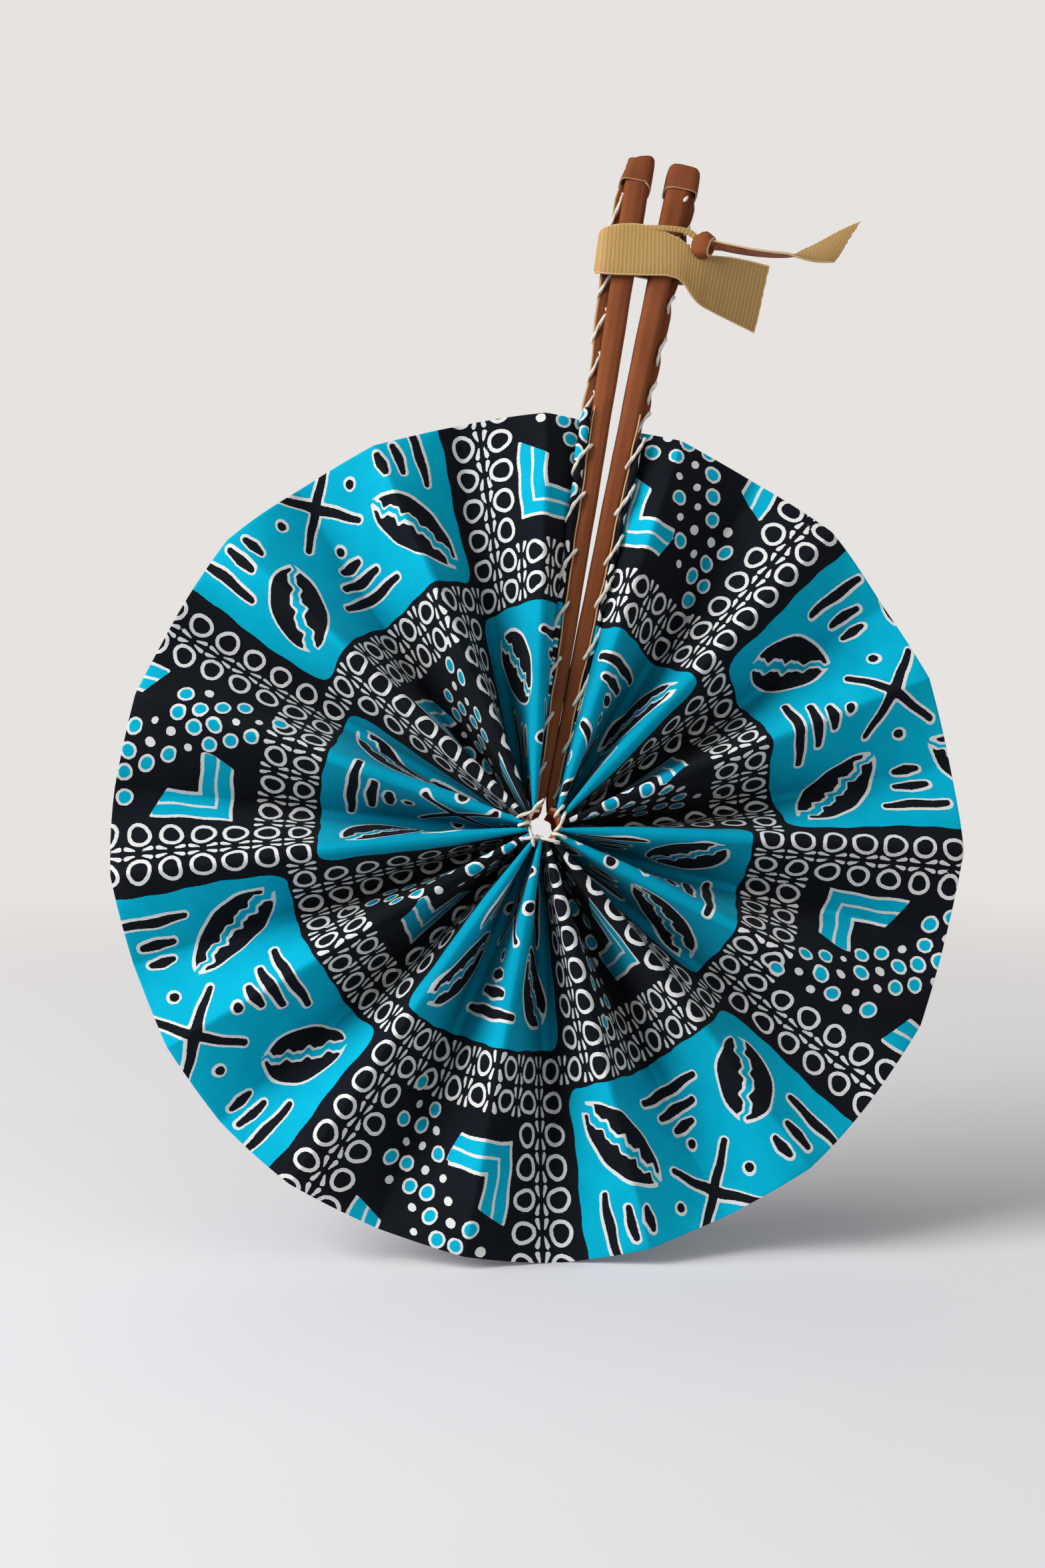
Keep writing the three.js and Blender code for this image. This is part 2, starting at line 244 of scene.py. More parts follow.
# %% The floor
RIM = 150.0
CAMERA_PITCH = np.radians(4.0)
FLOOR_REACH, FLOOR_DROP = 1500.0, 1.2
FLOOR_RINGS, FLOOR_SPOKES = 12, 64
plumb = np.cos(CAMERA_PITCH) * camera_up - np.sin(CAMERA_PITCH) * camera_forward
rim_turn = np.linspace(0, 2 * np.pi, 721)
rim_points = place(-RIM * np.sin(rim_turn), 0.0, RIM * np.cos(rim_turn))
lowest = rim_points[np.argmin(rim_points @ plumb)] - FLOOR_DROP * plumb
floor_right = unit(np.cross(plumb, [0.0, 1.0, 0.0]))
floor_deep = np.cross(plumb, floor_right)
ring, spoke = np.meshgrid(np.linspace(0.0002, 1, FLOOR_RINGS) * FLOOR_REACH,
                          np.linspace(0, 2 * np.pi, FLOOR_SPOKES + 1)[:-1], indexing="ij")
floor_points = (lowest + ring[..., None] * (np.cos(spoke)[..., None] * floor_right
                                            + np.sin(spoke)[..., None] * floor_deep))
print("lowest point of the rim", lowest.round(1))

# %% [markdown]
# ## Meshes from grids
# Every new piece is a grid of points: a shape written as a function of two parameters. A loop could
# make its faces one by one. Whole arrays are quicker, and they leave one place to check that the
# faces of a closed piece point outwards.


# %% Grids, sheets and tubes
def quads(rows, columns, round_columns=False):
    """Corner numbers of the four-sided faces of a grid that is stored row by row."""
    across = columns if round_columns else columns - 1
    row, column = np.meshgrid(np.arange(rows - 1), np.arange(across), indexing="ij")
    beside = (column + 1) % columns
    corners = [row * columns + column, row * columns + beside,
               (row + 1) * columns + beside, (row + 1) * columns + column]
    return np.stack(corners, -1).reshape(-1, 4)


def sheet_faces(rows, columns):
    """Faces of a thin closed sheet: a front grid, the same grid behind it and a wall round both."""
    front = quads(rows, columns)
    number = np.arange(rows * columns).reshape(rows, columns)
    edge = np.concatenate([number[0, :-1], number[:-1, -1], number[-1, :0:-1], number[:0:-1, 0]])
    following = np.roll(edge, -1)
    behind = rows * columns
    wall = np.stack([following, edge, edge + behind, following + behind], -1)
    return np.concatenate([front, front[:, ::-1] + behind, wall])


def tube_faces(rows, columns):
    """Faces of a closed tube: a grid that runs round in columns, and a fan to a point at each end."""
    walls = quads(rows, columns, round_columns=True)
    turn = np.arange(columns)
    first, last = rows * columns, rows * columns + 1
    start = np.stack([np.roll(turn, -1), turn, np.full(columns, first)], -1)
    end = np.stack([turn, np.roll(turn, -1), np.full(columns, last)], -1)
    end[:, :2] += (rows - 1) * columns
    return walls, np.concatenate([start, end])


def inside_volume(points, faces):
    """Volume within the faces, in tetrahedra to the origin. It is negative if they face in."""
    total = 0.0
    for group in faces:
        for k in range(1, group.shape[1] - 1):
            a, b, c = (points[group[:, i]] for i in (0, k, k + 1))
            total += np.einsum("ij,ij->i", a, np.cross(b, c)).sum() / 6
    return total


def put(name, points, faces, finish, fields=None, uv=None, sharp=None):
    """Mesh object from points in millimetres about the hub and groups of faces."""
    groups = list(faces) if isinstance(faces, (list, tuple)) else [faces]
    spots = metres(points).reshape(-1, 3)
    if inside_volume(spots - spots.mean(0), groups) < 0:
        groups = [group[:, ::-1] for group in groups]
    corners = np.concatenate([group.ravel() for group in groups]).astype(np.int32)
    sizes = np.concatenate([np.full(len(group), group.shape[1]) for group in groups])
    mesh = bpy.data.meshes.new(name)
    mesh.vertices.add(len(spots))
    mesh.vertices.foreach_set("co", spots.astype(np.float32).ravel())
    mesh.loops.add(len(corners))
    mesh.loops.foreach_set("vertex_index", corners)
    mesh.polygons.add(len(sizes))
    starts = np.concatenate([[0], np.cumsum(sizes)[:-1]])
    mesh.polygons.foreach_set("loop_start", starts.astype(np.int32))
    mesh.update(calc_edges=True)
    mesh.shade_smooth()
    if sharp is not None:
        mesh.set_sharp_from_angle(angle=np.radians(sharp))
    for field, values in (fields or {}).items():
        kept = mesh.attributes.new(field, "FLOAT", "POINT")
        kept.data.foreach_set("value", np.asarray(values, dtype=np.float32).ravel())
    if uv is not None:
        layer = mesh.uv_layers.new(name="along")
        listed = np.asarray(uv, dtype=np.float32).reshape(-1, 2)
        layer.data.foreach_set("uv", listed[corners].ravel())
    piece = bpy.data.objects.new(name, mesh)
    piece.data.materials.append(finish.material)
    bpy.context.scene.collection.objects.link(piece)
    return piece


def put_sheet(name, front, back, finish, fields=None, uv=None, sharp=50):
    """Thin closed sheet between two grids. Each field and the map are given once, for both sides."""
    both = np.stack([front, back])
    doubled = {key: np.stack([value, value]) for key, value in (fields or {}).items()}
    maps = None if uv is None else np.stack([uv, uv])
    return put(name, both, sheet_faces(*front.shape[:2]), finish, doubled, maps, sharp)


def put_tube(name, points, finish, fields=None, uv=None, sharp=None):
    """Closed tube on a grid whose rows run round. Each end closes on the middle of its row, which
    takes the field and the map of the row's first point."""
    rows, columns = points.shape[:2]

    def closed(values, width):
        """The grid as a list, with the first value of both end rows added to it."""
        listed = np.reshape(values, (-1, width))
        return np.concatenate([listed, listed[[0, (rows - 1) * columns]]])

    spots = np.concatenate([points.reshape(-1, 3), [points[0].mean(0), points[-1].mean(0)]])
    values = {key: closed(value, 1) for key, value in (fields or {}).items()}
    maps = None if uv is None else closed(uv, 2)
    return put(name, spots, tube_faces(rows, columns), finish, values, maps, sharp)


print("grid helpers ready")

# %% [markdown]
# The floor is a flat disc. Its finish turns see-through towards the edge, and from below, so that it
# never hides the fan in the other views.

# %% The floor's finish
floor_finish = Finish("pale_floor", linear(216, 214, 217), 0.9, Specular_IOR_Level=0.1)
from_middle = floor_finish.node("VectorMath", operation="DISTANCE", output="Value", inputs={
    0: floor_finish.node("TexCoord", output="Object"), 1: Vector(metres(lowest))})
fading = floor_finish.ramp(from_middle, 0.12, 1.1, 1.0, 0.0)
from_below = floor_finish.node("NewGeometry", output="Backfacing")
upper_side = floor_finish.math("SUBTRACT", 1.0, from_below)
cloudy = floor_finish.noise(6.0, floor_finish.place())
floor_color = floor_finish.mix(cloudy, linear(213, 211, 214), linear(219, 217, 219))
floor_finish.set("Base Color", floor_color)
floor_finish.set("Alpha", floor_finish.math("MULTIPLY", fading, upper_side))
floor_mesh = bpy.data.meshes.new("floor")
floor_faces = quads(FLOOR_RINGS, FLOOR_SPOKES, round_columns=True)
floor_mesh.from_pydata(metres(floor_points).reshape(-1, 3).tolist(), [], floor_faces.tolist())
floor = bpy.data.objects.new("floor", floor_mesh)
floor_mesh.materials.append(floor_finish.material)
bpy.context.scene.collection.objects.link(floor)
if floor_mesh.polygons[0].normal.dot(Vector(plumb)) < 0:
    floor_mesh.flip_normals()
print("floor faces", len(floor_mesh.polygons))

# %% [markdown]
# ## Sizes of the handle
# Both sticks taper from the hub to their ends, and one edge of their leather stands out at the
# outer side as a lip. The cloth starts at these outer sides, so these few lines set where everything
# else begins.

# %% Handle lines, as functions of the height above the hub
FOOT, TOP = 6.2, 249.5
WEDGE_START, WEDGE_TOP = 56.0, 3.3
HOLE_TOP, HOLE_CUT = 13.0, 1.3


def slope_line(z, at_foot, at_top):
    """Straight line over the length of the handle."""
    return at_foot + (at_top - at_foot) * (z - FOOT) / (TOP - FOOT)


def stick_inner(z):
    """Half of the gap between the sticks: they touch above the hub, part upwards in a narrow wedge,
    and are cut away at their feet, round the hole."""
    wedge = WEDGE_TOP * (z - WEDGE_START) / (TOP - WEDGE_START)
    parted = (wedge + np.sqrt(wedge ** 2 + 0.02)) / 2
    return 0.05 + parted + HOLE_CUT * np.clip((HOLE_TOP - z) / (HOLE_TOP - FOOT), 0, 1) ** 1.5


def stick_outer(z):
    """Outer side of the leather."""
    return slope_line(z, 3.5, 12.5)


def stick_half_depth(z):
    """Half of the depth of the stick in its leather."""
    return slope_line(z, 8.0, 12.0) / 2


def left_lip(z):
    """How far the rear edge of the left leather stands out."""
    return np.interp(z, [FOOT, 150, 155, 163, 185, 204, 235, 242, TOP],
                     [0.5, 3.2, 3.8, 2.6, 3.4, 4.2, 2.6, 1.0, 0.5]) + 0.25 * np.sin(z / 4.1)


RIGHT_NOTCHES = np.array([152.5, 164.5, 181.0, 199.5, 227.0])


def right_lip(z):
    """How far the front edge of the right leather stands out, drawn in by each stitch."""
    pulled = np.exp(-((np.asarray(z)[..., None] - RIGHT_NOTCHES) / 3.8) ** 2).sum(-1)
    reach = np.interp(z, [FOOT, 142, 156, 200, 236, 242, TOP],
                      [0.1, 0.25, 2.9, 2.9, 2.9, 1.2, 0.6])
    return reach - pulled * np.clip((z - 144) / 8, 0, 1)


print("outer side at the rim", round(float(stick_outer(RIM)), 2), "mm")

# %% [markdown]
# ## The folded leaf
# The leaf is one straight strip of cloth, almost a metre long, folded into 29 panels and gathered
# to a ring. It could be draped by simulation, but the folds of the real one are pressed and regular.
# Every panel keeps its width from hub to rim. At the hub there is little room, so the panels stand
# on edge; at the rim they lie nearly flat. That one rule gives the whole shape: at each radius the
# slope is found at which a panel, with its rounded folds, advances by exactly its share of the
# circle.

# %% Slope of the panels at each radius
PANELS = 29
PLEATS = 15
RIM_SLOPE = np.radians(15.0)
FOLD_SHARE, FOLD_RADIUS = 0.33, 2.2
SEAM_GAP = 0.3


def seam_angle(r):
    """Angle from straight up to the seam, where the leaf starts beside the stick."""
    return np.arcsin((stick_outer(r) + SEAM_GAP) / r)


def pitch(r):
    """Length of the circle that each panel has at this radius."""
    return r * (2 * np.pi - 2 * seam_angle(r)) / PANELS


def fold_radius(r):
    """Radius of a fold: a share of the panel's room near the hub, and a pressed fold's outside."""
    return np.minimum(FOLD_SHARE * pitch(r), FOLD_RADIUS)


def advance(width, fold, slope):
    """How far a panel gets: its straight part on the slope and its two rounded folds."""
    return 2 * fold * np.sin(slope) + (width - 2 * fold * slope) * np.cos(slope)


rim_fold = fold_radius(RIM)
PANEL_WIDTH = float((pitch(RIM) - 2 * rim_fold * np.sin(RIM_SLOPE)) / np.cos(RIM_SLOPE)
                    + 2 * rim_fold * RIM_SLOPE)


def panel_slope(r):
    """Halve the range of slopes until the panels advance by their pitch."""
    low, high = np.zeros_like(r), np.full_like(r, np.pi / 2)
    for _ in range(40):
        middle = (low + high) / 2
        too_far = advance(PANEL_WIDTH, fold_radius(r), middle) > pitch(r)
        low, high = np.where(too_far, middle, low), np.where(too_far, high, middle)
    return (low + high) / 2


print("panel width", round(PANEL_WIDTH, 2), "mm, strip", round(PANEL_WIDTH * PANELS), "mm long")


# %% A point of the leaf from its place on the strip
def hand_folded(q, r):
    """Small unevenness of hand folding: shift round the hub as an angle, and lift in millimetres."""
    outwards = (r / RIM) ** 1.5
    shift = 0.006 * np.sin(0.9 * q + 0.6) + 0.004 * np.sin(2.3 * q + 2.0)
    lift = (0.55 * np.sin(0.83 * q + r / 19) + 0.4 * np.sin(1.9 * q - r / 13 + 1.0)
            + 0.22 * np.sin(5.1 * q + r / 7.0))
    return shift * outwards * np.sin(np.pi * np.clip(q / PANELS, 0, 1)), lift * outwards


def leaf_point(q, r, offset=0.0):
    """Panels count from the left seam. The middle of panel m is at q = m, and folds lie half way
    between. From the middle, a panel runs straight on its slope and then bends level in an arc. The
    point is moved by the offset across the cloth, and the advance is wrapped round the hub."""
    slope, fold = panel_slope(r), fold_radius(r)
    inside = np.clip(q, 0, PANELS)
    middle = np.floor(inside + 0.5)
    share = inside - middle
    run = np.abs(share) * PANEL_WIDTH
    straight = PANEL_WIDTH / 2 - fold * slope
    bend = np.maximum(run - straight, 0) / fold
    level = np.minimum(run, straight)
    x = level * np.cos(slope) + fold * (np.sin(slope) - np.sin(slope - bend))
    y = level * np.sin(slope) + fold * (np.cos(slope - bend) - np.cos(slope))
    way = np.where(middle % 2 == 1, 1.0, -1.0)
    lean = slope - bend
    x = (middle * pitch(r) + np.sign(share) * x + (q - inside) * PANEL_WIDTH
         - offset * way * np.sin(lean))
    y = way * np.sign(share) * y + offset * np.cos(lean)
    shift, lift = hand_folded(inside, r)
    angle = seam_angle(r) + x / r + shift
    return place(-r * np.sin(angle), y + lift, r * np.cos(angle))


ridge_radii = np.array([FOOT, 40.0, 90.0, RIM])
ridge_heights = -leaf_point(np.full(4, 6.5), ridge_radii)[:, 1]
print("height of a ridge at", ridge_radii, "is", ridge_heights.round(1))

# %% [markdown]
# ## The print
# The cotton carries a traditional block pattern: turquoise and black cells like a chequerboard, with
# crosses, bars and cowrie shells in the turquoise ones, and rings, chevrons and dots in the black
# ones. A picture of it could be wrapped on the strip. Here each motif is a formula instead: the
# signed distance to its edge, in millimetres on the flat strip, below nought inside it. Three such
# numbers ride on every point of the cloth, for the turquoise ground, for what is white, and for
# what takes the other colour inside its white outline.

# %% Distances to simple shapes
CELL_WIDTH, CELL_HEIGHT, FIRST_CELL, ROW_EDGE = 115.4, 111.0, -61.3, 84.0
RINGS_IN_CELL = 8
RING_ACROSS, RING_UP = CELL_WIDTH / RINGS_IN_CELL, 11.1
DOT_ACROSS, DOT_UP = 8.2, 7.0
NOWHERE = 9.0


def disc(u, v, at, radius):
    """Distance to a round spot."""
    return np.hypot(u - at[0], v - at[1]) - radius


def stroke(u, v, start, end, thick, thin):
    """Distance to a line whose half width runs from thick to thin."""
    along = np.subtract(end, start)
    du, dv = u - start[0], v - start[1]
    share = np.clip((du * along[0] + dv * along[1]) / (along @ along), 0, 1)
    reach = np.hypot(du - share * along[0], dv - share * along[1])
    return reach - (thick + (thin - thick) * share)


def rounded_box(u, v, half_width, half_height, corner):
    """Distance to a box with rounded corners."""
    du, dv = np.abs(u) - half_width + corner, np.abs(v) - half_height + corner
    beyond = np.hypot(np.maximum(du, 0), np.maximum(dv, 0))
    return beyond + np.minimum(np.maximum(du, dv), 0) - corner


def is_turquoise(cell, outer_row):
    """Odd cells are turquoise in the outer row, and even ones in the inner row."""
    return (np.mod(cell, 2) == 1) == outer_row


def chance(a, b=0.0):
    """Even number from 0 to 1 that looks random and is the same in each run."""
    return np.mod(np.sin(a * 12.9898 + b * 78.233) * 43758.5453, 1.0)


print("cells of", CELL_WIDTH, "by", CELL_HEIGHT, "mm")


# %% Motifs of a turquoise cell
def turquoise_motif(u, v):
    """Black motifs, alike in all four quarters: a cross, dots, bars in threes and a shell, which is
    longer and slimmer on one side."""
    x, y = np.abs(u), np.abs(v)
    shapes = [stroke(x, y, (0, 0), (13.0, 12.5), 1.9, 1.2), disc(x, y, (0, 17.8), 1.7),
              disc(x, y, (16.0, 0), 1.7)]
    for height, half in ((24.5, 4.5), (30.8, 9.5), (38.0, 16.0)):
        shapes.append(stroke(x, y, (0, height), (half, height), 1.9, 1.2))
    for reach, half in ((30.5, 3.5), (37.5, 5.5), (46.0, 11.0)):
        shapes.append(stroke(x, y, (reach, 0), (reach, half), 1.9, 1.2))
    along = 0.66 * (x - 35) + 0.75 * (y - 27)
    across = -0.75 * (x - 35) + 0.66 * (y - 27)
    shorter, slimmer = np.where(u < 0, 0.66, 0.86), np.where(u < 0, 5.0, 3.5)
    shell = np.hypot(shorter * along, np.abs(across) + slimmer) - 14.6
    wave = 0.8 * np.sin(2 * np.pi * along / 8.3 + 0.7) + 0.4 * np.sin(2 * np.pi * along / 4.1)
    slit = (np.abs(across - wave) - (2.3 + 0.03 * along)) / 1.15
    shapes.append(np.maximum(shell, -slit))
    return np.minimum.reduce(shapes)


print("half width of the cross", round(float(-turquoise_motif(0.0, 0.0)), 1), "mm")


# %% Motifs of a black cell
def chevron(x, y):
    """Angle piece with its outer corner at (28.8, 31): the whole of it, and its two inner bands."""
    du, dv = 28.8 - x, 31.0 - y
    across, along = np.minimum(du, dv), np.maximum(du, dv)
    arm = np.where(du > dv, 25.0 + 0.45 * across, 29.0 - 0.45 * across)
    whole = np.maximum.reduce([-across, across - 12.2, along - arm])
    bands = np.minimum(np.abs(across - 3.4) - 2.2, np.abs(across - 8.8) - 2.1)
    return whole, np.maximum(bands, along - arm)


def dot_cluster(u, v, cell):
    """Staggered dots along a diagonal: about half of them have a turquoise heart in a white ring."""
    row = np.round(v / DOT_UP)
    stagger = 0.5 * np.mod(row, 2)
    column = np.round(u / DOT_ACROSS - stagger)
    key = row * 3 + column * 7 + cell * 13
    cu = (column + stagger) * DOT_ACROSS + 1.4 * (chance(key, 1.0) - 0.5)
    cv = row * DOT_UP + 0.8 * (chance(key, 2.0) - 0.5)
    inside = (np.abs(cu + 0.8 * cv) < 16) & (np.abs(cu) < 27) & (np.abs(cv) < 43)
    ringed = chance(key, 4.0) < 0.56
    far = np.hypot((u - cu) * 0.95, v - cv)
    spot = np.where(ringed, 3.0, 1.3 + 0.5 * chance(key, 3.0))
    return np.where(inside, far - spot, NOWHERE), np.where(inside & ringed, far - 2.1, NOWHERE)


def ring_lattice(s, t):
    """White rings in rows and columns, with four small wedges between neighbours in a row. They run
    everywhere on the row between the cells, and in two columns or rows along the sides of black
    cells."""

    def holds(column, row):
        """True on the row between the cells, and near the sides and ends of a black cell."""
        cell = np.floor(column / RINGS_IN_CELL)
        reach = np.abs(column + 0.5 - RINGS_IN_CELL * (cell + 0.5)) * RING_ACROSS
        height = 0.5 * CELL_HEIGHT - np.abs(row) * RING_UP
        near_edge = (reach > 30) | (np.abs(height) > 44)
        return (row == 0) | (~is_turquoise(cell, row > 0) & near_edge)

    across, up = (s - FIRST_CELL) / RING_ACROSS, (t - ROW_EDGE) / RING_UP
    column, row = np.floor(across), np.round(up)
    key = column * 5 + row * 11
    u, v = (across - column - 0.5) * RING_ACROSS, (up - row) * RING_UP
    turn = np.arctan2(v, u)
    wobble = (0.25 * np.sin(2 * turn + 6.3 * chance(key))
              + 0.15 * np.sin(3 * turn + 6.3 * chance(key, 2.0)))
    ring = np.abs(np.hypot(u * 0.93, v) - (3.45 + 0.35 * chance(key, 3.0)) - wobble) - 0.68
    ring = np.where(holds(column, row), ring, NOWHERE)
    left = np.round(across)
    beside = np.abs((across - left) * RING_ACROSS)
    wedge = stroke(beside, np.abs(v), (1.0, 1.2), (1.9, 4.3), 0.3, 0.9)
    wedge = np.where(holds(left - 1, row) & holds(left, row), wedge, NOWHERE)
    return np.minimum(ring, wedge)


print("dots", DOT_ACROSS, "by", DOT_UP, "mm apart, rings", RING_ACROSS, "by", RING_UP)

# %% The three fields of the print
WANDER_ALONG = ([0, 250, 350, 520, 620, 780, 850, 930, 960],
                [2.0, 1.5, 4.5, 5.0, 3.2, 2.8, 4.5, 9.0, 8.6])
WANDER_ACROSS = ([0, 130, 230, 480, 560, 600, 720, 790, 850, 960],
                 [-2.5, -2.2, -0.6, -0.6, -1.2, 0.5, 3.3, 5.5, 2.6, 2.8])


def print_fields(s, t):
    """Distances for the turquoise ground, for white, and for the inner fill, at strip places s and t.
    The panels were folded by hand and aren't equally wide, so the print wanders a little along and
    across the strip."""
    s, t = s - np.interp(s, *WANDER_ALONG), t + np.interp(s, *WANDER_ACROSS)
    cell = np.floor((s - FIRST_CELL) / CELL_WIDTH)
    outer_row = t > ROW_EDGE
    u = s - FIRST_CELL - (cell + 0.5) * CELL_WIDTH
    v = t - ROW_EDGE + np.where(outer_row, -0.5, 0.5) * CELL_HEIGHT
    turquoise = is_turquoise(cell, outer_row)
    drawn_u = u + 0.6 * np.sin(0.13 * v + 1.7 * cell) + 0.22 * np.sin(0.47 * v + 0.3 * u)
    drawn_v = v + 0.6 * np.sin(0.11 * u + 2.3 * cell) + 0.22 * np.sin(0.43 * u - 0.25 * v)
    ground = np.where(turquoise, rounded_box(drawn_u, drawn_v, 56.2, 49.0, 6.0), NOWHERE)
    motif = turquoise_motif(drawn_u, drawn_v)
    outline = turquoise_motif(drawn_u + 0.22, drawn_v - 0.18) - 0.95
    side = np.where(outer_row, -1.0, 1.0)
    half = np.where(drawn_u < 0, -1.0, 1.0)
    angle_piece, bands = chevron(drawn_u * half, drawn_v * half * side)
    dots, hearts = dot_cluster(drawn_u, drawn_v * side, cell)
    white = np.where(turquoise, outline, np.minimum(angle_piece, dots))
    fill = np.where(turquoise, motif, np.minimum(bands, hearts))
    return ground, np.minimum(white, ring_lattice(s, t)), fill


strip_places, radii = np.arange(0, PANELS * PANEL_WIDTH, 2.0), np.arange(FOOT, RIM, 2.0)
sample = print_fields(*np.meshgrid(strip_places, radii))
print("share of turquoise ground", round(float((sample[0] < 0).mean()), 2))

# %% [markdown]
# ## The cloth's finish
# The three numbers become colour by a plain test against nought, with a little noise so that the
# edges of the print are not cut too clean. Towards the hub the turquoise is darkened, as painted
# shade of the deep folds there. A fine plain weave gives relief, and a soft sheen gives the slight
# wax gloss of this kind of cotton.

# %% Printed cotton
WEAVE_SCALE = 850.0
cotton = Finish("printed_cotton", linear(8, 165, 195), 0.6, Sheen_Weight=0.02, Sheen_Roughness=0.4,
                Specular_IOR_Level=0.02)
strip_map = cotton.place(output="UV")
edge_noise = cotton.ramp(cotton.noise(900.0, strip_map, 2.0), 0.2, 0.8, -0.14, 0.14)


def printed(name):
    """One where this field of the print is below the noisy edge, nought elsewhere."""
    return cotton.math("LESS_THAN", cotton.field(name), edge_noise)


def yarns(direction):
    """Fine bands in one direction of the strip."""
    return cotton.node("TexWave", wave_type="BANDS", bands_direction=direction,
                       inputs={"Scale": WEAVE_SCALE, "Vector": strip_map, "Distortion": 0.6})


mottle = cotton.noise(90.0, strip_map, 4.0)
veins = cotton.noise(45.0, strip_map, 5.0, 0.6)
# The turquoise darkens towards the hub: painted shade of the deep folds there.
from_hub = cotton.node("SeparateXYZ", output="Y", inputs={"Vector": strip_map})
painted_hub_shade = cotton.ramp(from_hub, 0.06, 0.1, 0.4, 0.0)
turquoise_dye_and_shade = cotton.mix(mottle, linear(0, 152, 184), linear(6, 174, 203))
turquoise_dye_and_shade = cotton.mix(painted_hub_shade, turquoise_dye_and_shade, linear(0, 100, 130))
black_dye = cotton.mix(veins, linear(10, 12, 17), linear(25, 28, 34))
bare_white = cotton.mix(mottle, linear(200, 201, 199), linear(218, 219, 217))
on_turquoise = printed("ground")
ground_color = cotton.mix(on_turquoise, black_dye, turquoise_dye_and_shade)
fill_color = cotton.mix(on_turquoise, turquoise_dye_and_shade, black_dye)
with_white = cotton.mix(printed("white"), ground_color, bare_white)
print_and_shade = cotton.mix(printed("fill"), with_white, fill_color)
creases = cotton.noise(1.0, cotton.place((60.0, 18.0, 1.0), output="UV"), 4.0)
along_strip = cotton.node("SeparateXYZ", inputs={"Vector": strip_map})
panel_share = cotton.math("FRACT", cotton.math("MULTIPLY", along_strip, 1000 / PANEL_WIDTH))
from_fold = cotton.math("ABSOLUTE", cotton.math("SUBTRACT", panel_share, 0.5))
pressed = cotton.ramp(from_fold, 0.0, 0.9 / PANEL_WIDTH, 1.0, 0.0)
weave = cotton.math("MULTIPLY", yarns("X"), yarns("Y"))
weave = cotton.math("ADD", weave, cotton.math("MULTIPLY", creases, 2.5))
cotton.bump(cotton.math("ADD", weave, cotton.math("MULTIPLY", pressed, 1.5)), 0.00012, 0.6)
cotton.set("Base Color", print_and_shade)
print("cotton nodes", len(cotton.tree.nodes))

# %% [markdown]
# ## Fifteen gores of cloth
# The strip is split at its valley folds, as the frame splits it, so that each ridge can swing when
# the fan closes. The columns of each grid lie closer together at the folds.

# %% The gores
CLOTH_HALF = 0.3
SEAM_BITE = 1.0
HUB_RADIUS = 5.25
HEM_ROOM, HEM_CLEAR = np.radians([1.7, -1.3]), [0.8, -0.6]
GORE_ROWS = 219
RIM_WAVE, RIM_CHORD, RIM_ROUNDING = 0.0035, 0.003, 0.7
STICK_LEAN = float(np.arctan2(stick_outer(TOP) - stick_outer(FOOT), TOP - FOOT))
places = np.concatenate([[0], 2 * np.arange(1, PLEATS) - 0.5, [PANELS]])
start_angle = float(seam_angle(np.array(FOOT)))
fold_round = start_angle + (2 * np.pi - 2 * start_angle) * places / PANELS


def fold_columns(low, high, spacing=0.66):
    """Places on the strip from low to high, in panels, closer together near each fold."""
    stops = np.arange(np.floor(low * 2), np.ceil(high * 2) + 1) / 2
    steps = int(round(PANEL_WIDTH / 2 / spacing))
    share = np.arange(steps) / steps
    eased = share * (1.4 - 0.4 * share)
    towards_fold = np.mod(stops[:-1], 1) == 0
    columns = np.where(towards_fold[:, None], stops[:-1, None] + 0.5 * eased,
                       stops[1:, None] - 0.5 * (1 - share) * (1.4 - 0.4 * (1 - share)))
    return np.append(columns.ravel(), stops[-1])


gores = []
for number in range(PLEATS):
    low, high = max(2 * number - 0.5, 0.0), min(2 * number + 1.5, float(PANELS))
    columns = fold_columns(low, high)
    if number == 0:
        columns = np.append(-SEAM_BITE / PANEL_WIDTH, columns)
    if number == PLEATS - 1:
        columns = np.append(columns, PANELS + SEAM_BITE / PANEL_WIDTH)
    q, r = np.meshgrid(columns, np.linspace(FOOT, RIM, GORE_ROWS))
    chord = RIM_CHORD * (1 - (2 * (q - np.round(q))) ** 2)
    rim_wave = 1 + (RIM_WAVE * np.sin(1.7 * q + 0.4) - chord) * (r / RIM) ** 4
    half = CLOTH_HALF * np.clip(np.sqrt(np.maximum(RIM - r, 0) / RIM_ROUNDING) + 0.35, 0, 1)
    front = leaf_point(q, r * rim_wave, -half)
    back = leaf_point(q, r * rim_wave, half)
    ground, white, fill = print_fields(q * PANEL_WIDTH, r)
    name = f"pleat_{number + 1:02d}"
    gore = put_sheet(f"cloth_{number + 1:02d}", front, back, cotton,
                     {"ground": ground, "white": white, "fill": fill},
                     np.stack([q * PANEL_WIDTH, r], -1) / 1000)
    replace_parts(gore, name)
    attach(gore, name)
    middle = (fold_round[number] + fold_round[number + 1]) / 2
    share = (places[number] + places[number + 1]) / 2 / PANELS
    turned = STICK_LEAN + (2 * np.pi - 2 * STICK_LEAN) * share
    turned += np.interp(number, [0, PLEATS - 1], HEM_ROOM)
    axis = np.array([-np.cos(turned), 0, -np.sin(turned)])
    clear = np.interp(number, [0, PLEATS - 1], HEM_CLEAR)
    anchor = metres(HUB_RADIUS * np.array([-np.sin(middle), 0, np.cos(middle)]) + clear * axis)
    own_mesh(gore)
    flat = ((columns[-1] - columns[0]) * PANEL_WIDTH / 1000, (RIM - FOOT) / 1000)
    gores.append(gore)
print("gores", len(gores), "faces each", len(gores[1].data.polygons))

# %% [markdown]
# Each end of the strip is rolled to a hem, which lies beside the stick and is sewn to it. It is a
# round tube up the seam. The print runs on round it, so it reads as the same cloth.

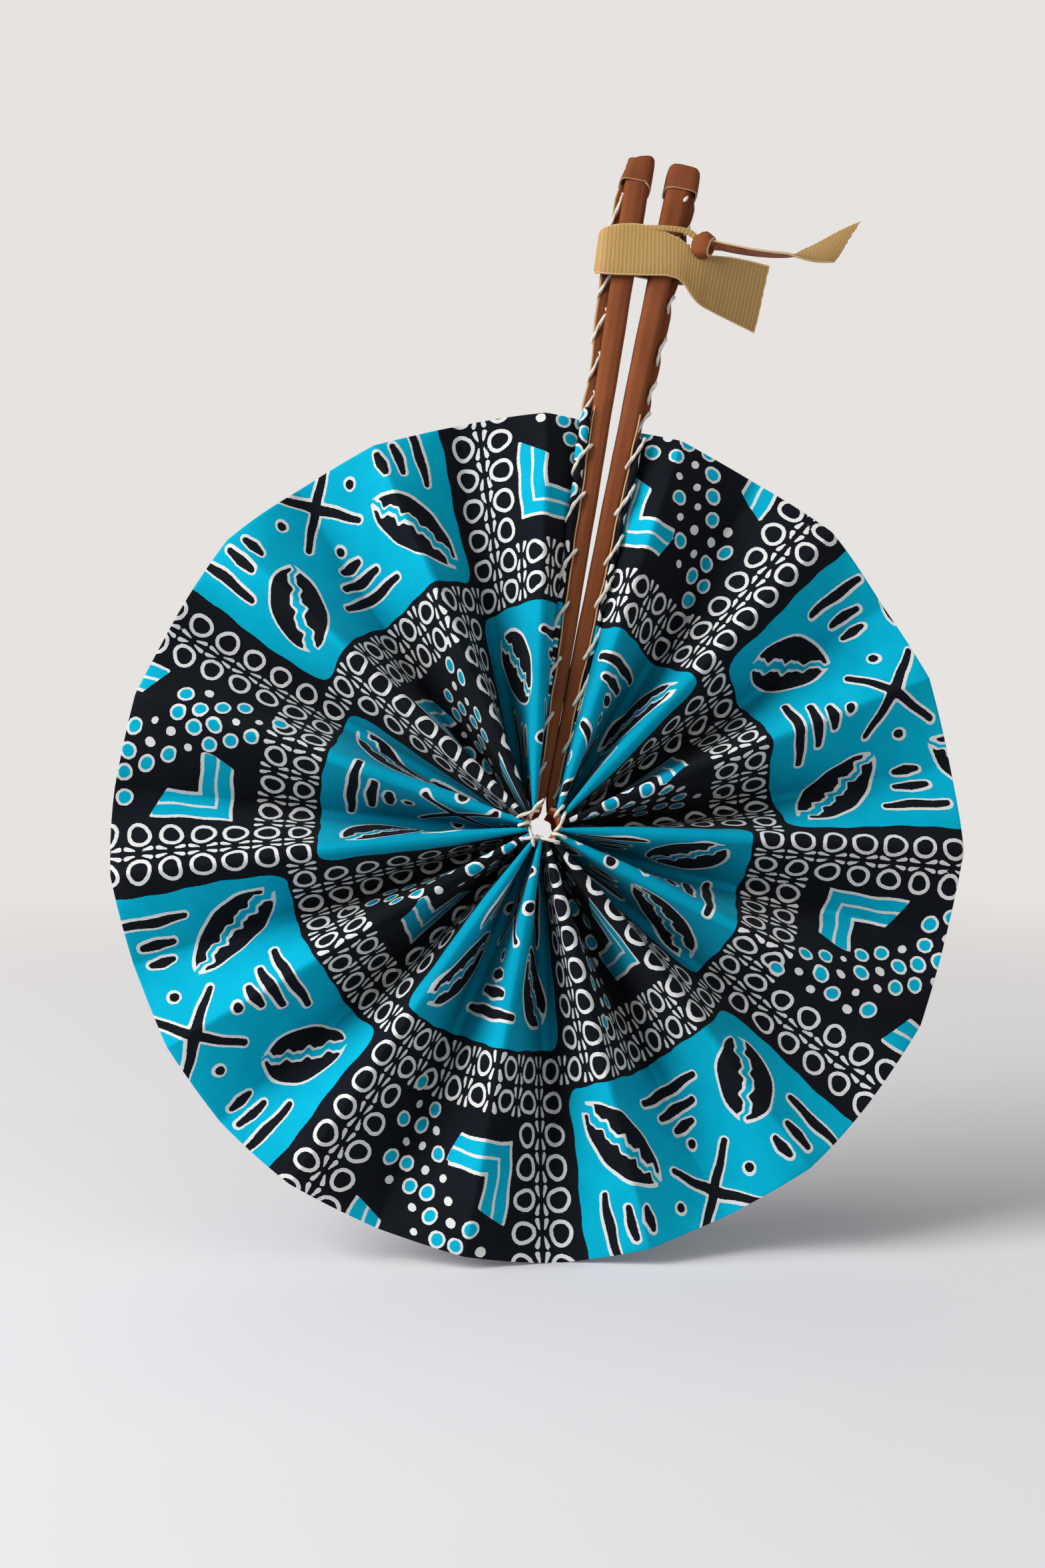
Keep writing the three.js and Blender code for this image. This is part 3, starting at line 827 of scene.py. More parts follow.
# %% The hems
HEM_FOOT, HEM_TOP, HEM_DEEP = 14, RIM + 2.5, 1.15


def hem_radius(z, side):
    """Thin at the hub and fuller at the rim, and rolled tighter on the right."""
    radius = np.interp(z, [HEM_FOOT, 40, 80, 148, HEM_TOP], [0.4, 0.75, 1.25, 1.9, 1.5])
    return radius * np.where(side < 0, 1.0, 0.7)


def hem_depth(z):
    """Where the middle of the hem lies, from back to front: level with the front of the leather."""
    return -stick_half_depth(z) + np.interp(z, [HEM_FOOT, 60], [1.4, 0.1])


def rolled_hem(name, side):
    """Tube beside the stick with the print of the strip's end. The right one ends below the rim."""
    z = np.linspace(HEM_FOOT, HEM_TOP if side < 0 else RIM - 6, 210)[:, None]
    turn = np.linspace(-np.pi, np.pi, 29)[:-1]
    radius = hem_radius(z, side) * (1 + 0.07 * np.sin(z / 5 + side) + 0.05 * np.sin(z / 2.1))
    x = stick_outer(z) + 0.2 + radius * (1 + np.sin(turn))
    y = hem_depth(z) - HEM_DEEP * radius * np.cos(turn)
    strip_end = -3.0 if side < 0 else PANELS * PANEL_WIDTH + 3.0
    along, up = np.broadcast_arrays(strip_end + side * radius * turn, z)
    fields = dict(zip(("ground", "white", "fill"), print_fields(along, up)))
    hem = put_tube(name, place(side * x, y, z), cotton, fields, np.stack([along, up], -1) / 1000)
    return hem


for hand, side in (("left", -1), ("right", 1)):
    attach(rolled_hem(f"{hand}_hem", side), f"{hand}_handle")
print("hems beside both sticks")

# %% [markdown]
# ## Leather
# The handle is covered in thin brown goat leather. Its colour drifts along the stick, its grain is a
# fine pebble, it is painted lighter near the hub, as painted light that lifts the shade between the
# ridges there, and wherever it is cut the raw, pale edge shows as a thin line. The mesh says where
# the cut edges are, and the finish does the rest.

# %% Brown leather with pale cut edges
leather = Finish("brown_leather", linear(124, 68, 39), 0.55, Specular_IOR_Level=0.0)
long_drift = leather.noise(1.0, leather.place((45.0, 45.0, 14.0)), 4.0)
blotches = leather.noise(55.0, leather.place(), 5.0, 0.6)
pebble = leather.noise(2600.0, leather.place(), 3.0)
hide = leather.mix(leather.ramp(long_drift, 0.3, 0.7), linear(114, 63, 38), linear(134, 78, 50))
hide = leather.mix(leather.ramp(blotches, 0.45, 0.8, 0.0, 0.4), hide, linear(98, 50, 27))
# Near the hub the leather is painted lighter: painted light that lifts the shade where the sticks sit
# between the ridges.
above_grip = leather.node("SeparateXYZ", output="Z", inputs={"Vector": leather.place()})
painted_light_at_foot = leather.ramp(above_grip, -0.185, -0.13, 0.8, 0.0)
hide = leather.mix(painted_light_at_foot, hide, linear(184, 102, 62))
raw_edge = leather.ramp(leather.field("cut"), 0.45, 0.7)
leather.set("Base Color", leather.mix(raw_edge, hide, linear(196, 160, 118)))
leather.set("Roughness", leather.ramp(pebble, 0.3, 0.7, 0.42, 0.62))
leather.bump(leather.math("ADD", pebble, leather.math("MULTIPLY", blotches, 0.8)), 0.00012, 0.5)
print("leather nodes", len(leather.tree.nodes))

# %% [markdown]
# ## Leather round the sticks
# One piece of leather goes round each stick: from the seam on the outer side over the front, round
# the inner side, over the back and to the seam again, where one edge stands out as a lip: the rear
# one on the left stick, and the front one on the right. A box with bevelled edges would hide the
# seam. A profile carried up the stick keeps both cut edges.

# %% Profile of the leather at each height
LEATHER_THICKNESS = 0.95
SEAM_FRONT, SEAM_BACK = -0.55, 1.55


def stretch(start, end, count):
    """Straight run of points between two arrays of corners."""
    share = np.linspace(0, 1, count)
    return [a + (b - a) * share for a, b in zip(start, end)]


def bend(middle, radius, first, last, count):
    """Arc of points about a middle, from one angle to another in degrees."""
    angle = np.radians(np.linspace(first, last, count))
    return [middle[0] + radius * np.cos(angle), middle[1] + radius * np.sin(angle)]


def leather_profile(z, lip):
    """Outer face of the leather at heights z: outer side, front, inner side, back, and the lip."""
    inner, outer, half = stick_inner(z), stick_outer(z), stick_half_depth(z)
    corner = 0.3 * np.minimum(outer - inner, 2 * half)
    crook = np.minimum(0.6, 0.7 * (lip - outer))
    front = stretch((outer - corner, -half), (inner + corner, -half), 11)
    front[1] = front[1] - 0.3 * np.sin(np.pi * np.linspace(0, 1, 11))
    runs = [
        stretch((outer, SEAM_FRONT + 0 * z), (outer, -half + corner), 6),
        bend((outer - corner, -half + corner), corner, 0, -90, 9),
        front,
        bend((inner + corner, -half + corner), corner, -90, -180, 9),
        stretch((inner, -half + corner), (inner, half - corner), 7),
        bend((inner + corner, half - corner), corner, 180, 90, 9),
        stretch((inner + corner, half), (outer - corner, half), 9),
        bend((outer - corner, half - corner), corner, 90, 0, 9),
        stretch((outer, half - corner), (outer, SEAM_BACK + crook), 4),
        bend((outer + crook, SEAM_BACK + crook), crook, 180, 270, 5),
        stretch((outer + crook, SEAM_BACK + 0 * z), (lip, SEAM_BACK + 0 * z), 8),
    ]
    return (np.concatenate([run[axis][:, 1 if k else 0:] for k, run in enumerate(runs)], 1)
            for axis in (0, 1))


def leather_sleeve(name, side, lip_out, face, pale):
    """The profile carried up the stick, one leather thickness deep. Its lip lies behind the cloth
    where face is 1, and in front of it where face is -1. Its cut edge is as pale as said."""
    z = np.linspace(FOOT, TOP, 260)[:, None]
    x, y = leather_profile(z, stick_outer(z) + lip_out(z))
    run_x, run_y = np.gradient(x, axis=1), np.gradient(y, axis=1)
    length = np.hypot(run_x, run_y)
    out_x, out_y = -run_y / length, run_x / length
    uneven = 0.06 * np.sin(z / 9 + 0.5 * x) + 0.04 * np.sin(z / 3.7 + 0.8 * x)
    outside = place(side * (x + uneven * out_x), face * (y + uneven * out_y), z)
    inside = place(side * (x - LEATHER_THICKNESS * out_x), face * (y - LEATHER_THICKNESS * out_y), z)
    cut = np.zeros(x.shape)
    cut[:, 0] = 1
    cut[:, -2:] = pale
    sleeve = put_sheet(name, outside, inside, leather, {"cut": cut})
    return sleeve


left_leather = leather_sleeve("left_leather", -1, left_lip, 1, 1.0)
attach(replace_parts(left_leather, "left_leather_wrap"), "left_handle")
right_leather = leather_sleeve("right_leather", 1, right_lip, -1, 0.4)
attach(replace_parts(right_leather, "right_leather_wrap"), "right_handle")
print("sleeves", len(left_leather.data.polygons), "faces each")

# %% [markdown]
# Inside the leaf the cut edge of the leather stands up beside the cloth and shows as a pale line. It
# is a narrow strip of its own, with a squarish section carried up the seam.


# %% The standing edges
def squarish(turn, power=0.5):
    """Rounded square as a curve: cosine and sine with their size raised to a power."""
    c, s = np.cos(turn), np.sin(turn)
    return np.sign(c) * np.abs(c) ** power, np.sign(s) * np.abs(s) ** power


def standing_edge(name, side):
    """Squarish section at the outer front corner of the leather, wandering a little on its way."""
    z = np.linspace(8, RIM + 4, 200)[:, None]
    across, deep = squarish(np.linspace(0, 2 * np.pi, 17)[:-1] + np.pi / 16)
    wander = 0.14 * np.sin(z / 5 + side) + 0.1 * np.sin(z / 2.3)
    x = stick_outer(z) - 0.5 + wander + 0.34 * across
    tall = 0.85 - 0.4 * np.clip((z - 140) / 14, 0, 1)
    y = -stick_half_depth(z) + 0.45 + 0.5 * wander + tall * deep
    cut = np.broadcast_to(deep < -0.75, x.shape).astype(float)
    edge = put_tube(name, place(side * x, y, z), leather, {"cut": cut})
    return edge


for hand, side in (("left", -1), ("right", 1)):
    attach(standing_edge(f"{hand}_standing_edge", side), f"{hand}_handle")
print("standing edges made")

# %% [markdown]
# ## End caps
# A small patch of wet leather was folded over the end of each stick and left to dry to a cup. The
# left one has a slanted top and a tab that hangs lower on the inner side; the right one is domed. A
# rounded box could stand for both. A rounded outline carried over the rim of the cup, inside and
# out, gives the thin wall and the pale cut line at its foot.

# %% The caps
CAP_DROP, CAP_RISE = 8.6, 1.3


def end_cap(name, side, reach, slant, narrow, tab):
    """Outline carried down the inside of the cup, over its foot, up its outside and over its crown.
    Each station is [height, growth, share of the outline]. The sides reach out and narrow upwards,
    the top slants, and the tab hangs lower on the inner side."""
    foot, top = TOP - CAP_DROP, TOP + CAP_RISE
    stations = np.array([
        [TOP + 0.2, 0.15, 0.3], [TOP + 0.2, 0.15, 1.0], [TOP - 4, 0.15, 1.0], [foot + 0.6, 0.15, 1.0],
        [foot, 0.2, 1.0], [foot, 0.75, 1.0], [foot + 0.4, 0.85, 1.0], [foot + 3, 0.85, 1.0],
        [foot + 5, 0.85, 1.0], [top - 2.8, 0.8, 1.0], [top - 1.3, 0.55, 1.0], [top - 0.4, -0.1, 1.0],
        [top, -0.9, 1.0], [top + 0.15, -0.9, 0.7], [top + 0.2, -0.9, 0.35]])
    turn = np.linspace(0, 2 * np.pi, 57)[:-1]
    z, grow, share = (stations[:, k, None] for k in range(3))
    inner, outer, half = stick_inner(z), stick_outer(z) + reach, stick_half_depth(z)
    across, deep = squarish(turn)
    up = np.clip((z - foot) / CAP_DROP, 0, 1)
    width = (outer - inner) / 2 + grow
    x = (inner + outer) / 2 + width * share * across - narrow * up * np.clip(across, 0, 1)
    y = (half + grow) * share * deep
    hanging = np.clip(-across - 0.5, 0, 1) * (np.abs(deep) < 0.95)
    tall = z + slant * up * across + tab * (1 - up) * hanging
    cut = np.zeros(x.shape)
    cut[4:6] = 1
    cap = put_tube(name, place(side * x, y, tall), leather, {"cut": cut}, sharp=55)
    return cap


left_cap = end_cap("left_cap", -1, reach=1.3, slant=-1.4, narrow=2.2, tab=-3.2)
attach(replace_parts(left_cap, "left_end_cap"), "left_handle")
right_cap = end_cap("right_cap", 1, reach=1.9, slant=-0.2, narrow=0.5, tab=-0.6)
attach(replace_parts(right_cap, "right_end_cap"), "right_handle")
print("caps with", len(left_cap.data.polygons), "faces")

# %% [markdown]
# ## Wood of the sticks
# Inside the leather are two whittled sticks. They show only at the foot, so the measured solids stay,
# with a plain wood finish: rings stretched along the grain.

# %% The sticks
wood = Finish("whittled_wood", linear(188, 142, 92), 0.65)
grain = wood.noise(1.0, wood.place((900.0, 900.0, 40.0)), 5.0)
grown = wood.mix(wood.ramp(grain, 0.3, 0.7), linear(160, 112, 68), linear(201, 160, 110))
wood.set("Base Color", grown)
wood.bump(grain, 0.0002, 0.4)
for stick in ("left_stick", "right_stick"):
    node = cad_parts[stick]
    node.data.materials.clear()
    node.data.materials.append(wood.material)
print("sticks in", wood.material.name)

# %% [markdown]
# ## Thread
# The seams are whipped with thick cream thread of two plies. A plain tube would read as wire, so the
# section of the tube has two lobes, and it turns on its way, which gives the twist of the plies.

# %% Cream thread
SEAM_THREAD, HUB_THREAD, KNOT_THREAD = 0.72, 0.66, 0.8
THREAD_SIDES, TWIST = 12, 4.6
thread = Finish("cream_thread", linear(212, 202, 186), 0.85, Sheen_Weight=0.2, Specular_IOR_Level=0.2)
fibre = thread.noise(1.0, thread.place((700.0, 2500.0, 1.0), output="UV"), 4.0)
spun = thread.mix(thread.ramp(fibre, 0.3, 0.7), linear(190, 180, 164), linear(222, 217, 207))
thread.set("Base Color", spun)
thread.bump(fibre, 0.0001, 0.6)


def run_length(points):
    """Length of a path up to each of its points: the sum of the steps before it."""
    return np.concatenate([[0], np.cumsum(np.linalg.norm(np.diff(points, axis=0), axis=1))])


def resampled(points, at, wanted):
    """Rows of a table at other places than the ones they are given at, on straight lines."""
    return np.stack([np.interp(wanted, at, column) for column in points.T], 1)


def softened(points, kernel):
    """Rows of a table averaged with their neighbours by a kernel. The end rows repeat outwards."""
    reach = len(kernel) // 2
    return np.stack([np.convolve(np.pad(column, reach, mode="edge"), kernel, "valid")
                     for column in points.T], 1)


def put_thread(name, path, out, radius, body):
    """Two-lobed section carried along a path, riding on a body. Its half width is 0.68 of the radius
    and another 0.32 on the lobes, and the lobes turn once in every two twists of length."""
    length = run_length(path)
    ahead = unit(np.gradient(path, axis=0))
    across = unit(np.cross(ahead, out))
    up = np.cross(across, ahead)
    turn = np.linspace(0, 2 * np.pi, THREAD_SIDES + 1)[:-1]
    lobes = np.cos(turn - np.pi * length[:, None] / TWIST) ** 2
    ends = np.clip(np.minimum(length, length[-1] - length) / radius, 0.15, 1)[:, None] ** 0.5
    reach = (radius * (0.68 + 0.32 * lobes) * ends)[..., None]
    ring = reach * (np.cos(turn)[:, None] * across[:, None] + np.sin(turn)[:, None] * up[:, None])
    uv = np.stack(np.broadcast_arrays(length[:, None], turn / (2 * np.pi)), -1) / 1000
    strand = put_tube(name, path[:, None] + ring, thread, uv=uv)
    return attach(strand, body)


print("thread ready")

# %% [markdown]
# ## Whipped seams
# The thread goes round the edge of the leather in long slanting stitches, 12 mm to 20 mm apart. On
# both seams the front of each stitch rises from lower left to upper right. A stitch could be drawn
# once and copied. Here each seam is one path, corners of a stitch repeated up the seam and rounded,
# so that every stitch fits its own place.

# %% The seam threads
THREAD_STEP = 0.35
FRONT_SHARE, BACK_SHARE = np.array([0.0, 0.5, 0.92, 1.0]), np.array([0.3, 0.6, 0.85])

# The seven corners of a stitch, in columns: four on its front and three behind. The left seam is -1
# and the right one 1. Rows in the leaf: millimetres out from the leather, hem radii further out,
# millimetres further out on the cloth; millimetres backwards, 1 where they count from the middle of
# the hem, hem radii in front of that, and 1 where they count from the front of the leather.
LEAF_STITCH = {
    -1: np.array([[0.5, 0.3, -1.3, -1.6, -0.6, 1.0, 0.3],
                  [2, 1, 0, 0, 0, 0, 0],
                  [0, 0, 0, 0, 0, 0, 2.4],
                  [-0.3, -0.5, -1.0, 1.3, 0.2, 2.4, 1.6],
                  [1, 1, 0, 0, 0, 0, 0],
                  [0, 1, 0, 0, 0, 0, 0],
                  [0, 0, 1, 1, 0, 0, 0]]),
    1: np.array([[-1.3, 0.3, 0.5, 0.3, 1.0, -0.6, -1.6],
                 [0, 1, 2, 0, 0, 0, 0],
                 [0, 0, 0, 2.0, 0, 0, 0],
                 [-1.0, -0.5, -0.3, 1.0, 1.6, 0.2, 1.3],
                 [0, 1, 1, 0, 0, 0, 0],
                 [0, 1, 0, 0, 0, 0, 0],
                 [1, 0, 0, 0, 0, 0, 1]])}
# Rows on the bare handle: millimetres out from the leather, shares of the lip further out, and
# millimetres backwards.
BARE_STITCH = {
    -1: np.array([[0.4, 0, 0.2, -0.5, -0.4, 0.8, 0],
                  [1, 0.55, 0, 0, 0, 0, 0.8],
                  [0.9, -0.4, -2.0, -0.3, 0.2, 2.4, 2.3]]),
    1: np.array([[-1.3, -0.4, 0.3, 0, 0.8, 0.5, 0],
                 [1, 1, 1, 1, 0, 0, 0.6],
                 [-2.6, -2.7, -1.9, -0.6, 0.6, 0.4, -1.2]])}


def seam_path(side, starts, ends):
    """Corners of each stitch, from the start to the end of its front and round the back to the next.
    In the leaf a stitch goes over the hem between a hole in the cloth and one in the leather; on the
    bare handle it goes round the lip. Gives the rounded path and its outward directions."""
    back = np.append(starts[1:], ends[-1] + 3) - ends
    z = np.concatenate([starts[:, None] + (ends - starts)[:, None] * FRONT_SHARE,
                        ends[:, None] + back[:, None] * BACK_SHARE], 1)
    hem, lip = hem_radius(z, side), left_lip(z) if side < 0 else right_lip(z)
    out, hems, cloth, deep, on_hem, over_hem, on_front = LEAF_STITCH[side]
    leaf_x = out + hems * hem + cloth * np.cos(panel_slope(np.minimum(z, RIM)))
    leaf_y = deep + on_hem * hem_depth(z) - over_hem * HEM_DEEP * hem - on_front * stick_half_depth(z)
    out, lips, deep = BARE_STITCH[side]
    bare = starts[:, None] > RIM - 4
    x = stick_outer(z) + np.where(bare, out + lips * lip, leaf_x)
    corners = place(side * x, np.where(bare, deep, leaf_y), z).reshape(-1, 3)
    at = run_length(corners)
    kernel = np.hanning(9)[1:-1]
    path = softened(resampled(corners, at, np.arange(0, at[-1], THREAD_STEP)), kernel / kernel.sum())
    centre = place(side * (stick_outer(path[:, 2]) + 0.2), 0.0, path[:, 2])
    return path, unit(path - centre)


def uneven_heights(start, end, step, key):
    """Heights about one step apart, each moved by a little chance."""
    count = int(round((end - start) / step))
    spread = np.linspace(start, end, count + 1)
    spread[1:-1] += 0.16 * step * (chance(np.arange(1, count) * 1.7 + key) - 0.5)
    return spread


leaf_left, leaf_right = uneven_heights(11, 148, 18.5, -1), uneven_heights(10, 134, 18.5, 1)
left_starts = np.concatenate([leaf_left[:-1], [150.0, 164.4, 179.9, 196.5]])
left_ends = np.concatenate([leaf_left[:-1] + 12, [159.0, 173.8, 190.4, 206.0]])
right_starts = np.concatenate([leaf_right, RIGHT_NOTCHES[:-1] - [4.5, 4.0, 5.0, 2.6]])
right_ends = np.concatenate([leaf_right + 12.5, RIGHT_NOTCHES[:-1] + [4.5, 4.0, 4.6, 2.4]])
for name, side, starts, ends in (
        ("left_lower_seam", -1, left_starts, left_ends),
        ("left_upper_seam", -1, np.array([223.0]), np.array([236.5])),
        ("right_lower_seam", 1, right_starts, right_ends),
        ("right_upper_seam", 1, RIGHT_NOTCHES[-1:] - 2.4, RIGHT_NOTCHES[-1:] + 2.4)):
    put_thread(name, *seam_path(side, starts, ends), SEAM_THREAD, name.split("_")[0] + "_handle")
for number, height in enumerate((221.5, 237.4)):
    run = np.linspace(-1.2, 1.2, 9)
    in_front = -stick_half_depth(height) - 0.45
    knot_path = place(stick_outer(height) - 1.3 + 0.5 * run, in_front, height + run)
    put_thread(f"thread_knot_{number + 1}", knot_path, [0.0, -1.0, 0.0], KNOT_THREAD, "right_handle")
print("stitches up the seams", len(left_starts), "and", len(right_starts))

# %% [markdown]
# ## Hub
# A strip of leather is rolled to a ring and sewn to the inner ends of the pleats. When the fan closes
# it uncoils, so it is made in fifteen short lengths, one for each pleat, which meet while the fan is
# open. Fat stitches hold its front edge to the ridges.

# %% The ring in lengths
HUB_SEAM = np.radians(14)
HUB_HALF_LENGTH, HUB_HALF_WALL, HUB_FLARE = 14.6, 0.5, 0.9
bounds_round = np.concatenate([[HUB_SEAM], fold_round[1:-1], [2 * np.pi - HUB_SEAM]])


def ring_length(number):
    """Part of a tube about the hub, between two angles: wavy edges that flare out a little, and
    slight waves in radius."""
    angle = np.linspace(bounds_round[number] + 0.002, bounds_round[number + 1] - 0.002, 12)
    share = np.linspace(-1, 1, 34)[:, None]
    y = share * (HUB_HALF_LENGTH + 0.5 * np.sin(5 * angle) + 0.3 * np.sin(11 * angle + 1))
    waves = 0.25 * np.sin(7 * angle + 0.4) * (np.abs(share) > 0.6)
    radius = HUB_RADIUS + waves + HUB_FLARE * share ** 6
    sides = [place(-r * np.sin(angle), y, r * np.cos(angle))
             for r in (radius - HUB_HALF_WALL, radius + HUB_HALF_WALL)]
    cut = np.zeros(y.shape)
    cut[[0, -1]] = 0.52
    return put_sheet(f"hub_ring_{number + 1:02d}", *sides, leather, {"cut": cut})


for number in range(PLEATS):
    part = ring_length(number)
    if number == 0:
        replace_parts(part, "hub_binding")
    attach(part, f"pleat_{number + 1:02d}")
print("ring lengths", PLEATS)

# %% The hub stitches
UNSTITCHED = (2, 4, 7, 9, 11, 13)


def hub_stitch(number):
    """Path over the ring's front edge: up inside the hole, over the edge and out along the ridge."""
    middle = start_angle + (2 * np.pi - 2 * start_angle) * (2 * number + 0.5) / PANELS
    slant = 1.5 * (chance(number * 2.1) - 0.45)
    longer = chance(number)
    reach = np.array([5.0, 4.8, 4.95, 5.5, 6.4, 7.4 + 1.2 * longer, 8.4 + 1.5 * longer])
    y = np.array([-11.0, -13.2, -14.9, -16.3, -17.1, -17.0, -15.8])
    angle = middle + slant * np.array([-1.0, -1.0, -0.8, -0.3, 0.3, 0.7, 0.9])
    corners = np.stack([reach, y, angle], 1)
    line = resampled(corners, np.linspace(0, 1, 7), np.linspace(0, 1, 40))
    r, y, angle = softened(line, np.ones(7) / 7).T
    path = place(-r * np.sin(angle), y, r * np.cos(angle))
    out = place(-np.sin(angle) * (r - 6.6), y + 10, np.cos(angle) * (r - 6.6))
    return path, unit(out)


for number in sorted(set(range(PLEATS)) - set(UNSTITCHED)):
    count = f"{number + 1:02d}"
    put_thread(f"hub_stitch_{count}", *hub_stitch(number), HUB_THREAD, f"pleat_{count}")
print("hub stitches", PLEATS - len(UNSTITCHED))

# %% [markdown]
# ## Tie strap
# A leather thong with a ribbed textile face ties the sticks together. It goes round both of them, its
# front runs on as a wide tail, and its other end comes over the right stick, makes a knot and leaves
# as a narrow tail that twists from its smooth brown side to its ribbed side. A flat band could be
# bent along a curve. Two edges say more: they give the place, the width and the twist at once, and
# each strap is the sheet between them.

# %% Strap with a ribbed and a smooth side
RIB_PITCH, RIB_RELIEF = 1.45, 0.07
webbing = Finish("ribbed_strap", linear(190, 155, 95), 0.75, Specular_IOR_Level=0.25)
rib_noise = webbing.noise(1.0, webbing.place((1400.0, 300.0, 1.0), output="UV"), 4.0)
lint = webbing.noise(160.0, webbing.place(output="UV"), 4.0)
# Lighter on the crests of the ribs and darker in the grooves between them: painted shade of the
# grooves.
raised = webbing.ramp(webbing.field("rib"), -0.6, 0.8)
ribbed = webbing.mix(raised, linear(163, 129, 76), linear(182, 149, 92))
ribbed = webbing.mix(webbing.ramp(rib_noise, 0.35, 0.75, 0.0, 0.55), ribbed, linear(168, 130, 74))
# Towards the tails the ribbed side is darkened: painted shade of the tails, which turn away from the
# light.
towards_tails = webbing.node("SeparateXYZ", inputs={"Vector": webbing.place()})
painted_tail_shade = webbing.ramp(towards_tails, 0.012, 0.03, 0.0, 0.4)
ribbed = webbing.mix(painted_tail_shade, ribbed, linear(126, 98, 64))
smooth_side = webbing.mix(webbing.ramp(lint, 0.3, 0.7), linear(122, 66, 42), linear(158, 92, 60))
faced = webbing.mix(webbing.ramp(webbing.field("outside"), 0.3, 0.7), smooth_side, ribbed)
edged = webbing.mix(webbing.ramp(webbing.field("cut"), 0.5, 0.8), faced, linear(206, 176, 128))
webbing.set("Base Color", edged)
webbing.bump(webbing.math("ADD", rib_noise, lint), 0.00015, 0.5)
print("ribs every", RIB_PITCH, "mm, webbing nodes", len(webbing.tree.nodes))

# %% A flat strap between two edges
RIBBON_STEP = 0.4


def smooth_line(points, passes):
    """Evenly spaced points on a broken line, averaged with their neighbours a number of times."""
    at = run_length(points[:, :3])
    line = resampled(points, at, np.linspace(0, at[-1], int(at[-1] / RIBBON_STEP) + 1))
    for _ in range(passes):
        line[1:-1] = (line[:-2] + 2 * line[1:-1] + line[2:]) / 4
    return line


def ribbon(name, upper, lower, thickness, passes, ragged=0.0, columns=22):
    """Flat strap between two edges, each a row of points. Their middle line and half their distance
    are made even and smooth, straight lines join the edges, and ribs run across on the outer side.
    Gives the piece, its greatest width and length, and its flat area, in metres."""
    upper, lower = np.array(upper, dtype=float), np.array(lower, dtype=float)
    line = smooth_line(np.concatenate([(upper + lower) / 2, (upper - lower) / 2], 1), passes)
    path, across = line[:, :3], line[:, 3:]
    ahead = unit(np.gradient(path, axis=0))
    through = unit(np.cross(ahead, across))[:, None]
    half = np.linalg.norm(across, axis=1, keepdims=True)
    share = np.linspace(-1, 1, columns)
    along = np.arange(len(path))[:, None] * RIBBON_STEP
    rib = np.cos(2 * np.pi * along / RIB_PITCH + 0.2 * np.sin(3 * share))
    near_end = np.clip(along - along[-1] + 3, 0, 3) / 3
    tear = ragged * (chance(np.arange(columns) * 3.3) - 0.5) * near_end
    spine = path[:, None] + share[:, None] * across[:, None] + tear[..., None] * ahead[:, None]
    deep = thickness / 2 * np.clip((1 - np.abs(share)) * 6, 0.35, 1) ** 0.5
    front = spine + through * (deep + RIB_RELIEF * rib)[..., None]
    back = spine - through * deep[:, None]
    cut = np.zeros(rib.shape)
    cut[[0, -1]] = cut[:, [0, -1]] = 1
    none = np.zeros(rib.shape)
    fields = {"rib": [rib, none], "cut": [cut, cut], "outside": [none + 1, none]}
    uv = np.stack(np.broadcast_arrays(along, half * share), -1) / 1000
    strap = put(name, [front, back], sheet_faces(*rib.shape), webbing, fields, [uv, uv], 60)
    flat = (2 * float(half.max()) / 1000, float(along[-1, 0]) / 1000)
    area = float((2 * half * RIBBON_STEP).sum()) / 1e6
    print(name, "is", round(1000 * flat[1]), "mm long and", round(1000 * flat[0], 1),
          "mm wide at its widest,", round(1e6 * area), "mm2")
    return strap, flat, area


print("straps have a point every", RIBBON_STEP, "mm")

# %% The band and the wide tail
band, flat, area = ribbon(
    "strap_band",
    [[15.2, 2.0, 224.0], [15.0, 6.6, 226.0], [12.0, 7.3, 226.2], [-12.0, 7.3, 226.2],
     [-15.4, 6.4, 225.4], [-16.9, 3.0, 223.0], [-17.5, -3.5, 220.2], [-17.1, -6.6, 219.8],
     [-15.7, -7.6, 220.7], [-11.7, -8.2, 222.1], [-6.3, -8.2, 223.4], [-2.3, -8.2, 223.7],
     [5.3, -8.2, 222.5], [10.7, -8.0, 221.3], [14.4, -7.8, 219.4], [17.1, -7.4, 217.4],
     [20.1, -7.2, 216.9], [24.5, -7.0, 217.9], [31.3, -6.6, 218.8], [38.2, -6.0, 219.0],
     [45.2, -5.4, 218.8]],
    [[15.2, 2.0, 208.0], [15.0, 6.6, 209.8], [12.0, 7.3, 209.8], [-12.0, 7.3, 209.8],
     [-15.2, 6.4, 209.0], [-16.4, 3.0, 206.4], [-16.7, -3.5, 203.7], [-16.2, -6.6, 203.0],
     [-14.1, -7.5, 202.6], [-9.5, -7.8, 203.1], [-4.0, -7.8, 204.1], [0.4, -7.8, 204.9],
     [8.1, -7.6, 206.5], [12.8, -7.0, 206.6], [15.6, -5.8, 205.4], [18.1, -4.2, 203.2],
     [21.2, -2.2, 201.1], [24.5, 0.0, 200.3], [31.4, 2.6, 199.2], [38.3, 4.6, 198.1],
     [45.2, 6.6, 197.0]],
    1.7, passes=10, ragged=0.3)
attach(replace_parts(band, "tie_strap"), "tie_strap")

